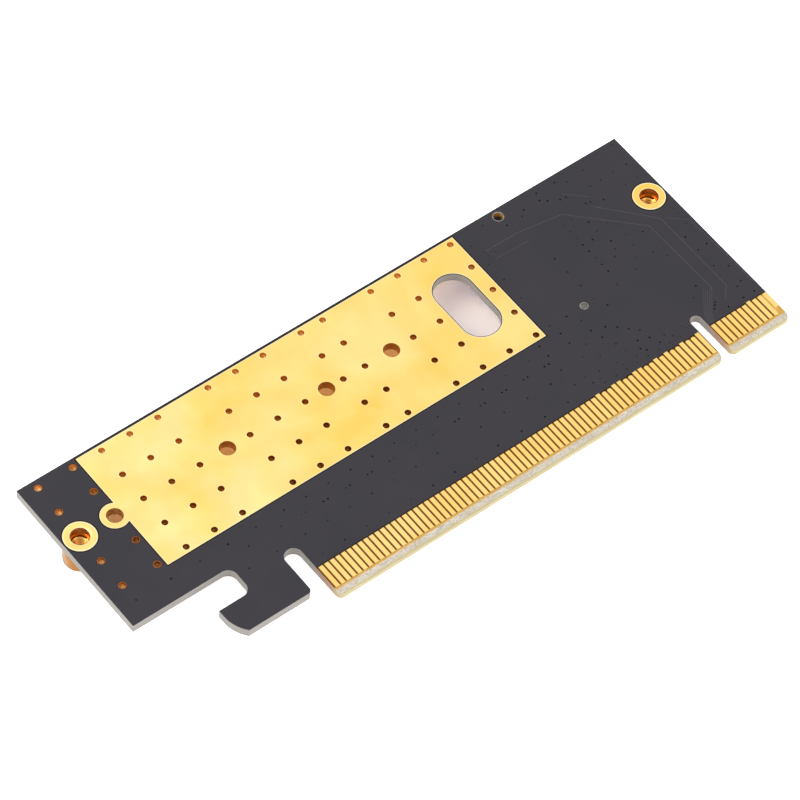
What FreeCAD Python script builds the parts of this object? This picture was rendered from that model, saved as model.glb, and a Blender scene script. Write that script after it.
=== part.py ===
"""Adapter card that carries one solid-state drive module in a long edge-connector slot.

The card lies with its component side down, as it would on a bench. Lengths are in millimetres.
Every sub-part is drawn in the card's own frame and then moved to the part's frame:
x runs along the contacts from the centre of the key notch towards the bracket end,
y runs from the contact edge up the card, z runs from the component face to the back face.
"""
import FreeCAD, Part
import math
import operator
import os
import Sketcher
from FreeCAD import Vector

doc = FreeCAD.newDocument("AdapterCard")

# Driving dimensions

SIZES = [
    # board
    ("board_height", 41.1),
    ("board_thickness", 1.6),
    ("mask_thickness", 0.05),
    ("front_part_edge", 12.93),
    ("bracket_margin", 0.45),
    ("tail_margin", 0.63),
    ("tail_reach", 8.89),
    ("tongue_corner", 0.8),
    ("bevel_height", 1.05),
    ("bevel_depth", 0.35),
    # edge contacts and key notch
    ("contact_pitch", 1.0),
    ("contact_width", 0.7),
    ("contact_start", 1.4),
    ("contact_top", 5.55),
    ("ground_rise", 0.2),
    ("sense_contact_start", 2.5),
    ("key_gap", 3.0),
    ("notch_width", 1.93),
    ("notch_height", 8.45),
    # retention hook
    ("hook_slot_width", 2.84),
    ("hook_slot_height", 10.5),
    ("hook_stem", 6.9),
    ("hook_reach", 5.77),
    ("hook_bottom", 2.85),
    ("hook_foot", 5.05),
    ("hook_toe_rise", 1.8),
    ("hook_toe_run", 1.55),
    ("hook_toe_radius", 5.0),
    ("hook_corner", 0.7),
    ("hook_fillet", 1.5),
    # module places, heat pad and vent holes
    ("module_tip", 10.03),
    ("module_long", 80.0),
    ("module_medium", 60.0),
    ("module_short", 42.0),
    ("module_smallest", 30.0),
    ("pad_width", 22.3),
    ("pad_margin", 0.45),
    ("pad_past_screw", 1.15),
    ("pad_setback", 9.85),
    ("pad_clearance", 0.12),
    ("screw_hole_radius", 1.27),
    ("screw_ring_radius", 2.2),
    ("vent_radius", 0.5),
    ("vent_row_pitch", 5.1),
    ("vent_column_pitch", 5.0),
    ("vent_narrow_pitch", 4.0),
    ("vent_gap_long", 5.06),
    ("vent_gap_medium", 4.08),
    ("vent_gap_short", 3.06),
    ("vent_gap_smallest", 4.03),
    ("oval_setback", 6.02),
    ("oval_width", 6.4),
    ("oval_length", 12.55),
    # heatsink standoffs
    ("standoff_inset", 2.8),
    ("standoff_radius", 2.55),
    ("standoff_height", 3.7),
    ("standoff_hole_radius", 1.5),
    ("thread_radius", 1.02),
    ("thread_chamfer", 0.35),
    ("rim_chamfer", 0.15),
    # module socket
    ("socket_depth", 7.3),
    ("socket_height", 4.2),
    ("socket_chamfer", 0.3),
    ("mouth_depth", 3.9),
    ("mouth_width", 20.0),
    ("end_wall", 1.0),
    ("end_space", 0.6),
    ("mouth_floor", 2.3),
    ("mouth_gap", 1.15),
    ("mouth_flare", 0.4),
    ("rib_offset", 6.125),
    ("rib_width", 1.1),
    ("peg_inset", 0.815),
    ("peg_setback", 1.79),
    ("large_peg_length", 0.5),
    ("large_peg_radius", 0.75),
    ("small_peg_length", 1.3),
    ("small_peg_radius", 0.5),
    ("peg_clearance", 0.05),
    # socket contacts
    ("pin_pitch", 0.25),
    ("strip_width", 0.2),
    ("strip_thickness", 0.15),
    ("groove_width", 0.3),
    ("channel_depth", 0.45),
    ("underside_relief", 0.25),
    ("leg_clearance", 0.05),
    ("foot_reach", 0.85),
    ("upper_bump", 0.5),
    ("upper_bump_setback", 1.6),
    ("lower_bump", 0.3),
    ("lower_bump_setback", 1.95),
    ("holddown_width", 1.1),
    ("holddown_height", 1.6),
    # chips on the component side
    ("bulk_length", 2.0),
    ("bulk_width", 1.25),
    ("bulk_height", 1.25),
    ("bulk_cap", 0.4),
    ("small_length", 1.0),
    ("small_width", 0.5),
    ("small_height", 0.5),
    ("small_cap", 0.22),
    ("resistor_height", 0.35),
    ("reservoir_length", 3.5),
    ("reservoir_width", 2.8),
    ("reservoir_height", 1.9),
    ("reservoir_waist", 1.15),
    ("reservoir_draft", 0.12),
    ("reservoir_lead_width", 2.2),
    ("reservoir_lead_length", 0.8),
    ("reservoir_lead_height", 0.95),
    ("lead_thickness", 0.12),
    ("lamp_length", 1.6),
    ("lamp_width", 0.8),
    ("lamp_base_height", 0.3),
    ("lens_length", 1.0),
    ("lens_height", 0.4),
    ("lens_chamfer", 0.1),
    ("lamp_cap", 0.28),
]

sheet = doc.addObject("Spreadsheet::Sheet", "Sizes")
for row, (name, number) in enumerate(SIZES, start=1):
    sheet.set("A%d" % row, name.replace("_", " "))
    sheet.set("B%d" % row, str(number))
    sheet.setAlias("B%d" % row, name)
doc.recompute()

OPERATORS = {"+": operator.add, "-": operator.sub, "*": operator.mul, "/": operator.truediv}


class Length:
    """A length that knows its value and the expression that ties it to the sheet."""

    def __init__(self, text, value):
        self.text = text
        self.value = value

    def combine(self, sign, other):
        other = as_length(other)
        text = "(%s %s %s)" % (self.text, sign, other.text)
        return Length(text, OPERATORS[sign](self.value, other.value))

    def __add__(self, other):
        return self.combine("+", other)

    def __sub__(self, other):
        return self.combine("-", other)

    def __mul__(self, other):
        return self.combine("*", other)

    def __truediv__(self, other):
        return self.combine("/", other)

    def __neg__(self):
        return Length("(0 - %s)" % self.text, -self.value)


def as_length(number):
    if isinstance(number, Length):
        return number
    return Length("(%s)" % number, float(number))


def size(name):
    return Length("Sizes.%s" % name, float(sheet.get(name)))


ZERO = as_length(0)
HALF = 0.5


def bind(item, prop, length):
    item.setExpression(prop, as_length(length).text)


# Places that several sub-parts share

CONTACTS = 82
CONTACTS_BEFORE_KEY = 11
MIDDLE_PIN = 38
MODULES = ("long", "medium", "short", "smallest")
VENT_SIDES = 6
VENT_ROWS = (-2, -1, 0, 1, 2)
VENT_PITCHES = ("vent_column_pitch", "vent_column_pitch", "vent_narrow_pitch", "vent_column_pitch")
VENT_COLUMNS = (3, 3, 2, 4)

film = size("mask_thickness")
board_thickness = size("board_thickness")
half_key_gap = size("key_gap") * HALF
tip = -size("module_tip")
module_lengths = [size("module_" + word) for word in MODULES]
screw_places = [tip - length for length in module_lengths]
bracket_end = half_key_gap + size("contact_pitch") * (CONTACTS_BEFORE_KEY - 1) + size("bracket_margin")
tail_end = screw_places[0] - size("tail_reach")
board_top = size("board_height")
front_edge = size("front_part_edge")
tongue_end = -(half_key_gap + size("contact_pitch") * (CONTACTS - CONTACTS_BEFORE_KEY - 1)
               + size("tail_margin"))
mask_line = size("contact_top") + size("ground_rise")

hook_side = tongue_end - size("hook_slot_width")
stem_side = hook_side - size("hook_stem")
hook_tip = stem_side - size("hook_reach")
hook_bottom = size("hook_bottom")
hook_top = hook_bottom + size("hook_foot")

line = board_top - size("pad_margin") - size("pad_width") * HALF
standoff_places = [tail_end + size("standoff_inset"), bracket_end - size("standoff_inset")]
pad_left = screw_places[0] + size("pad_past_screw")
pad_right = tip - size("pad_setback")
pad_low = line - size("pad_width") * HALF
pad_high = line + size("pad_width") * HALF
oval_place = pad_right - size("oval_setback")
half_oval = (size("oval_length") - size("oval_width")) * HALF

mouth = tip - size("mouth_depth")
socket_back = mouth + size("socket_depth")
socket_width = size("mouth_width") + size("end_wall") * 2
peg_x = tip - size("peg_setback")
peg_offset = socket_width * HALF - size("peg_inset")
pegs = [
    (peg_x, line + peg_offset, size("large_peg_radius"), size("large_peg_length")),
    (peg_x, line - peg_offset, size("small_peg_radius"), size("small_peg_length")),
]


def vent_places():
    """Centres of the vent holes in the heat pad, a group after each screw hole, around the oval slot."""
    places = []
    nearest = size("oval_width").value * HALF + size("vent_radius").value
    for word, screw, pitch, count in zip(MODULES, screw_places, VENT_PITCHES, VENT_COLUMNS):
        for column in range(count):
            x = screw + size("vent_gap_" + word) + size(pitch) * column
            beside_oval = abs(x.value - oval_place.value) > nearest
            for vent_row in VENT_ROWS:
                if beside_oval or vent_row in (VENT_ROWS[0], VENT_ROWS[-1]):
                    places.append((x, line + size("vent_row_pitch") * vent_row))
    return places


def outer_vent_places():
    """Centres of the eight vent holes between the heat pad and the card's tail end."""
    rows = [line + size("vent_row_pitch") * vent_row for vent_row in VENT_ROWS if vent_row]
    return [(x, y) for x in (standoff_places[0], screw_places[0]) for y in rows]


vents = vent_places() + outer_vent_places()
screws = [(x, line) for x in screw_places]
standoffs = [(x, line) for x in standoff_places]

# Drawing helpers

SAME_PLACE = 1e-4
LEAST_CUT = 1e-6


def place(item, x=ZERO, y=ZERO, level=ZERO):
    """Move an item from the card's frame to the part's: centred, and standing on its lowest face."""
    bind(item, "Placement.Base.x", as_length(x) - (bracket_end + tail_end) * HALF)
    bind(item, "Placement.Base.y", as_length(y) - board_top * HALF)
    bind(item, "Placement.Base.z", as_length(level) + size("socket_height"))


def new_body(name):
    body = doc.addObject("PartDesign::Body", name)
    body.Label = name
    return body


def origin_item(body, role):
    return [item for item in body.Origin.OriginFeatures if item.Role == role][0]


def new_sketch(body, role="XY_Plane", offset=ZERO):
    sketch = body.newObject("Sketcher::SketchObject", "Sketch")
    sketch.AttachmentSupport = [(origin_item(body, role), "")]
    sketch.MapMode = "FlatFace"
    bind(sketch, "AttachmentOffset.Base.z", offset)
    return sketch


def fix_point(sketch, element, corner, point):
    """Tie one point of a sketch to its two lengths."""
    for kind, length in zip(("DistanceX", "DistanceY"), point):
        length = as_length(length)
        number = sketch.addConstraint(Sketcher.Constraint(kind, -1, 1, element, corner, length.value))
        bind(sketch, "Constraints[%d]" % number, length)


def flat(point):
    return Vector(as_length(point[0]).value, as_length(point[1]).value, 0)


def draw_polygon(sketch, points):
    first = sketch.GeometryCount
    corners = [flat(point) for point in points]
    count = len(points)
    following = [(i + 1) % count for i in range(count)]
    sketch.addGeometry([Part.LineSegment(corners[i], corners[j]) for i, j in enumerate(following)], False)
    sketch.addConstraint([Sketcher.Constraint("Coincident", first + i, 2, first + j, 1)
                          for i, j in enumerate(following)])
    for i, point in enumerate(points):
        fix_point(sketch, first + i, 1, point)


def draw_rectangle(sketch, left, low, right, high):
    draw_polygon(sketch, [(left, low), (right, low), (right, high), (left, high)])


def draw_circles(sketch, places, radius):
    for place_of_circle in places:
        number = sketch.addGeometry(Part.Circle(flat(place_of_circle), Vector(0, 0, 1), radius.value), False)
        fix_point(sketch, number, 3, place_of_circle)
        tie = sketch.addConstraint(Sketcher.Constraint("Radius", number, radius.value))
        bind(sketch, "Constraints[%d]" % tie, radius)


def draw_slot(sketch, x, low, high, width):
    """A round-ended slot along y, between the centres of its two ends."""
    first = sketch.GeometryCount
    radius = width * HALF
    left = x - radius
    right = x + radius
    up = Vector(0, 0, 1)
    top_circle = Part.Circle(flat((x, high)), up, radius.value)
    low_circle = Part.Circle(flat((x, low)), up, radius.value)
    sketch.addGeometry([
        Part.ArcOfCircle(top_circle, 0, math.pi),
        Part.LineSegment(flat((left, high)), flat((left, low))),
        Part.ArcOfCircle(low_circle, math.pi, 2 * math.pi),
        Part.LineSegment(flat((right, low)), flat((right, high))),
    ], False)
    sketch.addConstraint([Sketcher.Constraint("Tangent", first + i, 2, first + (i + 1) % 4, 1)
                          for i in range(4)])
    sketch.addConstraint(Sketcher.Constraint("Equal", first, first + 2))
    fix_point(sketch, first, 3, (x, high))
    fix_point(sketch, first + 2, 3, (x, low))
    tie = sketch.addConstraint(Sketcher.Constraint("Radius", first, radius.value))
    bind(sketch, "Constraints[%d]" % tie, radius)


def add_pad(body, sketch, length, symmetric=False):
    pad = body.newObject("PartDesign::Pad", "Pad")
    pad.Profile = sketch
    pad.SideType = "Symmetric" if symmetric else "One side"
    bind(pad, "Length", length)
    doc.recompute()
    return pad


def cut(body, sketch, length=None, upward=True, symmetric=False):
    """Cut a pocket, right through unless it has a length, and make sure that it removes something."""
    before = body.Shape.Volume
    pocket = body.newObject("PartDesign::Pocket", "Pocket")
    pocket.Profile = sketch
    pocket.SideType = "Symmetric" if symmetric else "One side"
    pocket.Reversed = upward
    if length is None:
        pocket.Type = "ThroughAll"
    else:
        bind(pocket, "Length", length)
    doc.recompute()
    if body.Shape.Volume > before - LEAST_CUT:
        raise RuntimeError("a pocket of %s removes nothing" % body.Label)
    return pocket


def repeat(body, feature, role, pitch, count):
    pattern = body.newObject("PartDesign::LinearPattern", "Row")
    pattern.Originals = [feature]
    pattern.Direction = (origin_item(body, role), [""])
    bind(pattern, "Length", pitch * (count - 1))
    pattern.Occurrences = count
    body.Tip = pattern
    doc.recompute()
    return pattern


def round_upright_edges(body, places, radius):
    """Fillet the edges that stand upright on the given places of the outline."""
    base = body.Tip
    names = []
    for number, edge in enumerate(base.Shape.Edges, start=1):
        ends = [(vertex.X, vertex.Y) for vertex in edge.Vertexes]
        for place_of_edge in places:
            point = flat(place_of_edge)
            if len(ends) == 2 and all(abs(x - point.x) + abs(y - point.y) < SAME_PLACE for x, y in ends):
                names.append("Edge%d" % number)
    fillet = body.newObject("PartDesign::Fillet", "Fillet")
    fillet.Base = (base, names)
    bind(fillet, "Radius", radius)
    doc.recompute()


def new_box(centre_x, centre_y, low, length, width, height):
    """A box on the component side: low and height are measured away from the board."""
    box = doc.addObject("Part::Box", "Box")
    bind(box, "Length", length)
    bind(box, "Width", width)
    bind(box, "Height", height)
    bind(box, "Placement.Base.x", as_length(centre_x) - length * HALF)
    bind(box, "Placement.Base.y", as_length(centre_y) - width * HALF)
    bind(box, "Placement.Base.z", -(as_length(low) + height))
    return box


def group(name, pieces):
    compound = doc.addObject("Part::Compound", name)
    compound.Label = name
    compound.Links = pieces
    place(compound)
    return compound


# Board


def make_vent_tools():
    """Upright bars that cut the vent holes. Their flat sides touch the real round hole."""
    bars = []
    for x, y in vents:
        bar = doc.addObject("Part::Prism", "Bar")
        bar.Polygon = VENT_SIDES
        bind(bar, "Circumradius", size("vent_radius") / math.cos(math.pi / VENT_SIDES))
        bind(bar, "Height", board_thickness * 3)
        bind(bar, "Placement.Base.x", x)
        bind(bar, "Placement.Base.y", y)
        bind(bar, "Placement.Base.z", -board_thickness)
        bars.append(bar)
    tools = doc.addObject("Part::Compound", "Bars")
    tools.Links = bars
    return tools


def vented(name, body, tools):
    """The body with the vent holes cut through it, moved to its place."""
    result = doc.addObject("Part::Cut", name)
    result.Label = name
    result.Base = body
    result.Tool = tools
    place(result)
    return result


def make_board(tools):
    """The board with its mask: outline, hook, key notch, slots, holes, bevelled edge and bare recesses."""
    body = new_body("Board")
    toe = (hook_tip, hook_bottom + size("hook_toe_rise"))
    sketch = new_sketch(body)
    draw_polygon(sketch, [
        (tail_end, front_edge),
        (tail_end, board_top),
        (bracket_end, board_top),
        (bracket_end, ZERO),
        (tongue_end, ZERO),
        (tongue_end, hook_bottom),
        (hook_tip + size("hook_toe_run"), hook_bottom),
        toe,
        (hook_tip, hook_top),
        (stem_side, hook_top),
        (stem_side, front_edge),
    ])
    add_pad(body, sketch, board_thickness)

    half_notch = size("notch_width") * HALF
    half_slot = size("hook_slot_width") * HALF
    sketch = new_sketch(body)
    draw_slot(sketch, ZERO, -half_notch, size("notch_height") - half_notch, size("notch_width"))
    draw_slot(sketch, tongue_end - half_slot, -half_slot, size("hook_slot_height") - half_slot,
              size("hook_slot_width"))
    draw_slot(sketch, oval_place, line - half_oval, line + half_oval, size("oval_width"))
    draw_circles(sketch, screws, size("screw_hole_radius"))
    draw_circles(sketch, standoffs, size("standoff_hole_radius"))
    for x, y, radius, _ in pegs:
        draw_circles(sketch, [(x, y)], radius + size("peg_clearance"))
    cut(body, sketch)
    round_upright_edges(body, [(stem_side, hook_top), (stem_side, front_edge)], size("hook_fillet"))
    round_upright_edges(body, [(hook_side, hook_bottom)], size("hook_corner"))
    round_upright_edges(body, [toe], size("hook_toe_radius"))
    corners = [(bracket_end, ZERO), (half_notch, ZERO), (-half_notch, ZERO), (tongue_end, ZERO)]
    round_upright_edges(body, corners, size("tongue_corner"))

    bevel = size("bevel_height")
    bare_back = board_thickness - film
    for face, inward in ((film, size("bevel_depth")), (bare_back, -size("bevel_depth"))):
        sketch = new_sketch(body, "YZ_Plane")
        outside = face - inward * 2
        draw_polygon(sketch, [
            (bevel, face),
            (ZERO, face + inward),
            (-bevel, face + inward),
            (-bevel, outside),
            (bevel, outside),
        ])
        cut(body, sketch, symmetric=True)

    for level, upward in ((bare_back, True), (film, False)):
        sketch = new_sketch(body, offset=level)
        draw_rectangle(sketch, tongue_end - half_slot, -bevel, bracket_end + bevel, mask_line)
        cut(body, sketch, upward=upward)
    gap = size("pad_clearance")
    sketch = new_sketch(body, offset=bare_back)
    draw_rectangle(sketch, pad_left - gap, pad_low - gap, pad_right + gap, pad_high + gap)
    draw_circles(sketch, standoffs, size("standoff_radius") + gap)
    cut(body, sketch)
    sketch = new_sketch(body, offset=bare_back)
    draw_circles(sketch, screws[:1], size("screw_ring_radius") + gap)
    cut(body, sketch)
    return vented("circuit_board", body, tools)


# Copper and gold


def make_heat_pad(tools):
    """The bare gold pad of the back face, with the ring of the outermost screw hole."""
    body = new_body("Pad")
    sketch = new_sketch(body, offset=board_thickness - film)
    draw_rectangle(sketch, pad_left, pad_low, pad_right, pad_high)
    add_pad(body, sketch, film)
    sketch = new_sketch(body, offset=board_thickness - film)
    draw_circles(sketch, screws[:1], size("screw_ring_radius"))
    add_pad(body, sketch, film)
    sketch = new_sketch(body)
    draw_circles(sketch, screws, size("screw_hole_radius"))
    draw_slot(sketch, oval_place, line - half_oval, line + half_oval,
              size("oval_width") + size("pad_clearance") * 2)
    cut(body, sketch)
    return vented("heat_pad", body, tools)


def make_ring(name, x):
    """The plated ring round a standoff's hole on the back face."""
    body = new_body(name)
    sketch = new_sketch(body)
    draw_circles(sketch, [(ZERO, ZERO)], size("standoff_radius"))
    draw_circles(sketch, [(ZERO, ZERO)], size("standoff_hole_radius"))
    add_pad(body, sketch, film)
    place(body, x, line, board_thickness - film)
    return body


def contact_x(pin):
    """Centre of an edge contact, counted from the bracket end across the key."""
    if pin <= CONTACTS_BEFORE_KEY:
        return half_key_gap + size("contact_pitch") * (CONTACTS_BEFORE_KEY - pin)
    return -(half_key_gap + size("contact_pitch") * (pin - CONTACTS_BEFORE_KEY - 1))


def make_edge_contacts(name, level, signal_pins, ground_pins, short_pin):
    """A row of contacts. Ground contacts run on to the mask and signal contacts have rounded shoulders."""
    pieces = []
    half = size("contact_width").value * HALF
    shoulder = half * HALF
    for pin in range(1, CONTACTS + 1):
        x = contact_x(pin).value
        start = size("sense_contact_start" if pin == short_pin else "contact_start").value
        top = size("contact_top").value
        points = [(x - half, start), (x + half, start)]
        if pin in ground_pins:
            top = mask_line.value
        if pin in signal_pins:
            points += [(x + half, top - shoulder), (x + shoulder, top)]
            points += [(x - shoulder, top), (x - half, top - shoulder)]
        else:
            points += [(x + half, top), (x - half, top)]
        corners = [Vector(px, py, 0) for px, py in points]
        face = Part.Face(Part.makePolygon(corners + corners[:1]))
        pieces.append(face.extrude(Vector(0, 0, film.value)))
    row_of_contacts = doc.addObject("Part::Feature", name)
    row_of_contacts.Label = name
    row_of_contacts.Shape = Part.makeCompound(pieces)
    place(row_of_contacts, level=level)
    return row_of_contacts


# Standoffs


def make_standoff(name, x):
    """A turned brass nut that hangs from the component side under its plated hole."""
    body = new_body(name)
    sketch = new_sketch(body, "XZ_Plane")
    bore = size("thread_radius")
    chamfer = size("thread_chamfer")
    outer = size("standoff_radius")
    rim = size("rim_chamfer")
    height = size("standoff_height")
    draw_polygon(sketch, [
        (bore, -chamfer),
        (bore + chamfer, ZERO),
        (outer, ZERO),
        (outer, rim - height),
        (outer - rim, -height),
        (bore, -height),
    ])
    turned = body.newObject("PartDesign::Revolution", "Turned")
    turned.Profile = sketch
    turned.ReferenceAxis = (origin_item(body, "Z_Axis"), [""])
    turned.Angle = 360
    doc.recompute()
    place(body, x, line)
    return body


# Module socket, drawn from the seated tip of the module on the module's centre line

socket_mouth = -size("mouth_depth")
socket_rear = size("socket_depth") - size("mouth_depth")
slot_floor = -size("mouth_floor")
slot_roof = slot_floor - size("mouth_gap")
half_channel = size("channel_depth") * HALF
half_strip = size("strip_thickness") * HALF
upper_channel_roof = slot_roof - half_channel
upper_channel_floor = upper_channel_roof + size("channel_depth") * 2
lower_channel_floor = slot_floor + size("channel_depth") + half_channel
lower_turn = size("channel_depth") * 2

def pin_runs(before_key, after_key):
    """First and last pin of each unbroken run of a row, on either side of the key.

    The row takes every second pin, and has as many as fit between the end spaces of the mouth."""
    reach = int((size("mouth_width") * HALF - size("end_space")).value / size("pin_pitch").value)
    steps_before = (before_key - MIDDLE_PIN + reach) // 2
    steps_after = (MIDDLE_PIN + reach - after_key) // 2
    return [(before_key - steps_before * 2, before_key), (after_key, after_key + steps_after * 2)]


UPPER_RUNS = pin_runs(57, 67)
LOWER_RUNS = pin_runs(58, 68)
FIRST_PIN = min(UPPER_RUNS[0][0], LOWER_RUNS[0][0])


def pin_y(pin):
    return size("pin_pitch") * (MIDDLE_PIN - pin)


def along_row(body, runs, make_feature):
    """Make a feature at the last pin of each run and repeat it up to the first."""
    for first, last in runs:
        feature = make_feature(-pin_y(last))
        repeat(body, feature, "Y_Axis", size("pin_pitch") * 2, int(last - first) // 2 + 1)


def make_socket_housing():
    body = new_body("socket_housing")
    height = size("socket_height")
    chamfer = size("socket_chamfer")
    sketch = new_sketch(body, "XZ_Plane")
    draw_polygon(sketch, [
        (socket_mouth, ZERO),
        (socket_rear, ZERO),
        (socket_rear, chamfer - height),
        (socket_rear - chamfer, -height),
        (socket_mouth + chamfer, -height),
        (socket_mouth, chamfer - height),
    ])
    add_pad(body, sketch, socket_width, symmetric=True)
    relief = size("underside_relief")
    groove = size("groove_width")
    sketch = new_sketch(body, "XZ_Plane")
    draw_rectangle(sketch, socket_mouth, -relief, lower_turn, ZERO)
    cut(body, sketch, pin_y(FIRST_PIN) * 2 + groove, symmetric=True)
    for x, y, radius, length in pegs:
        sketch = new_sketch(body, offset=-relief)
        draw_circles(sketch, [(x - tip, y - line)], radius)
        add_pad(body, sketch, relief + length)

    half_mouth = size("mouth_width") * HALF
    rib_low = -size("rib_offset") - size("rib_width") * HALF
    rib_high = rib_low + size("rib_width")
    sketch = new_sketch(body, "YZ_Plane", socket_mouth)
    draw_rectangle(sketch, -half_mouth, slot_roof, rib_low, slot_floor)
    draw_rectangle(sketch, rib_high, slot_roof, half_mouth, slot_floor)
    cut(body, sketch, size("mouth_depth"))
    flare = size("mouth_flare")
    sketch = new_sketch(body, "XZ_Plane")
    draw_polygon(sketch, [
        (socket_mouth - flare, slot_floor + flare * 2),
        (socket_mouth + flare, slot_floor),
        (socket_mouth + flare, slot_roof),
        (socket_mouth, slot_roof - flare * HALF),
        (socket_mouth - flare, slot_roof - flare * HALF),
    ])
    cut(body, sketch, size("mouth_width"), symmetric=True)

    channel_start = socket_mouth + flare * 2
    lower_leg = lower_turn - size("channel_depth")

    def upper_groove(offset):
        groove_sketch = new_sketch(body, "XZ_Plane", offset)
        draw_rectangle(groove_sketch, channel_start, upper_channel_roof, socket_rear, upper_channel_floor)
        return cut(body, groove_sketch, groove, symmetric=True)

    def lower_groove(offset):
        groove_sketch = new_sketch(body, "XZ_Plane", offset)
        draw_polygon(groove_sketch, [
            (lower_turn, -relief),
            (lower_turn, slot_floor),
            (channel_start, slot_floor),
            (channel_start, lower_channel_floor),
            (lower_leg, lower_channel_floor),
            (lower_leg, -relief),
        ])
        return cut(body, groove_sketch, groove, symmetric=True)

    along_row(body, UPPER_RUNS, upper_groove)
    along_row(body, LOWER_RUNS, lower_groove)
    place(body, tip, line)
    return body


def draw_strip(sketch, path):
    """The side view of a bent strip. Each point of its middle line has the side that its thickness faces."""
    near_side = [(x + half_strip * side_x, z + half_strip * side_z) for x, z, side_x, side_z in path]
    far_side = [(x - half_strip * side_x, z - half_strip * side_z) for x, z, side_x, side_z in path]
    draw_polygon(sketch, near_side + far_side[::-1])


def make_contacts(name, runs, path):
    """Bent spring contacts that stand on their feet, one for each pin of a row."""
    body = new_body(name)

    def contact(offset):
        sketch = new_sketch(body, "XZ_Plane", offset)
        draw_strip(sketch, path)
        return add_pad(body, sketch, size("strip_width"), symmetric=True)

    along_row(body, runs, contact)
    place(body, tip, line)
    return body


def upper_contact_path():
    leg = socket_rear + half_strip + size("leg_clearance")
    beam = upper_channel_roof + half_channel
    return [
        (leg + size("foot_reach"), -half_strip, 0, 1),
        (leg, -half_strip, -1, 1),
        (leg, beam, -1, 1),
        (socket_mouth + size("upper_bump_setback"), slot_roof + size("upper_bump"), 0, 1),
    ]


def lower_contact_path():
    leg = lower_turn - half_channel
    beam = lower_channel_floor - half_channel
    return [
        (socket_mouth - size("foot_reach"), -half_strip, 0, 1),
        (leg, -half_strip, 1, 1),
        (leg, beam, 1, -1),
        (socket_mouth + size("lower_bump_setback"), slot_floor - size("lower_bump"), 0, -1),
    ]


def make_holddown(name, side):
    """A soldered clip at one end of the socket's back wall."""
    body = new_body(name)
    thickness = size("strip_thickness")
    sketch = new_sketch(body, "XZ_Plane", (socket_width - size("holddown_width")) * (-HALF * side))
    draw_polygon(sketch, [
        (socket_rear, ZERO),
        (socket_rear + size("foot_reach"), ZERO),
        (socket_rear + size("foot_reach"), -thickness),
        (socket_rear + thickness, -thickness),
        (socket_rear + thickness, -size("holddown_height")),
        (socket_rear, -size("holddown_height")),
    ])
    add_pad(body, sketch, size("holddown_width"), symmetric=True)
    place(body, tip, line)
    return body


# Chips on the component side. Each place is measured from the socket's mouth or from its back wall,
# on the module's centre line, and says whether the chip is turned along y.

BULK_PLACES = [(mouth, -3.6, 8.2, False), (mouth, -3.6, 3.9, False), (socket_back, 14.0, -8.8, False),
               (socket_back, 14.0, -15.8, False)]
DECOUPLING_PLACES = [(mouth, -3.9, 0.5, False), (mouth, -3.9, -3.6, False), (socket_back, 11.8, 5.2, True),
                     (socket_back, 5.0, -4.6, True)]
RESISTOR_PLACES = [(socket_back, 14.3, 5.2, True), (socket_back, 4.0, 7.8, False),
                   (socket_back, 4.0, 9.1, False)]
RESERVOIR_PLACE = (socket_back, 14.0, -12.3, False)
LAMP_PLACE = (socket_back, 16.8, 5.2, True)


def chip_box(spot, shift, low, length, width, height):
    """A box of a chip, with its centre shifted along the chip's length."""
    anchor, dx, dy, turned = spot
    x = anchor + dx
    y = line + dy
    if turned:
        return new_box(x, y + shift, low, width, length, height)
    return new_box(x + shift, y, low, length, width, height)


def chip_ends(spot, low, length, width, height, reach):
    """Two boxes that end at the given reach from the chip's centre."""
    return [chip_box(spot, (reach - length * HALF) * side, low, length, width, height) for side in (-1, 1)]


def make_chips(name, spots, kind, height):
    """Ceramic bodies and the metal end caps that wrap their ends."""
    length = size(kind + "_length")
    width = size(kind + "_width")
    cap = size(kind + "_cap")
    bodies = [chip_box(spot, ZERO, ZERO, length - cap * 2, width, height) for spot in spots]
    caps = []
    for spot in spots:
        caps += chip_ends(spot, ZERO, cap, width, height, length * HALF)
    return [group(name + "_bodies", bodies), group(name + "_end_caps", caps)]


def make_reservoir():
    """A moulded capacitor: its case has drafted sides, and its two leads fold under its ends."""
    anchor, dx, dy, _ = RESERVOIR_PLACE
    case = new_body("reservoir_capacitor_case")
    lead = size("lead_thickness")
    height = size("reservoir_height")
    waist = size("reservoir_waist")
    draft = size("reservoir_draft")
    outer = size("reservoir_length") * HALF
    inner = outer - lead
    sketch = new_sketch(case, "XZ_Plane")
    draw_polygon(sketch, [
        (-inner, -lead),
        (inner, -lead),
        (inner, -waist),
        (inner - draft, -height),
        (draft - inner, -height),
        (-inner, -waist),
    ])
    add_pad(case, sketch, size("reservoir_width"), symmetric=True)
    place(case, anchor + dx, line + dy)
    width = size("reservoir_lead_width")
    feet = chip_ends(RESERVOIR_PLACE, ZERO, size("reservoir_lead_length"), width, lead, outer)
    legs = chip_ends(RESERVOIR_PLACE, lead, lead, width, size("reservoir_lead_height"), outer)
    folds = []
    for foot, leg in zip(feet, legs):
        fold = doc.addObject("Part::Fuse", "Lead")
        fold.Base = foot
        fold.Tool = leg
        folds.append(fold)
    return [case, group("reservoir_capacitor_leads", folds)]


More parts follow.
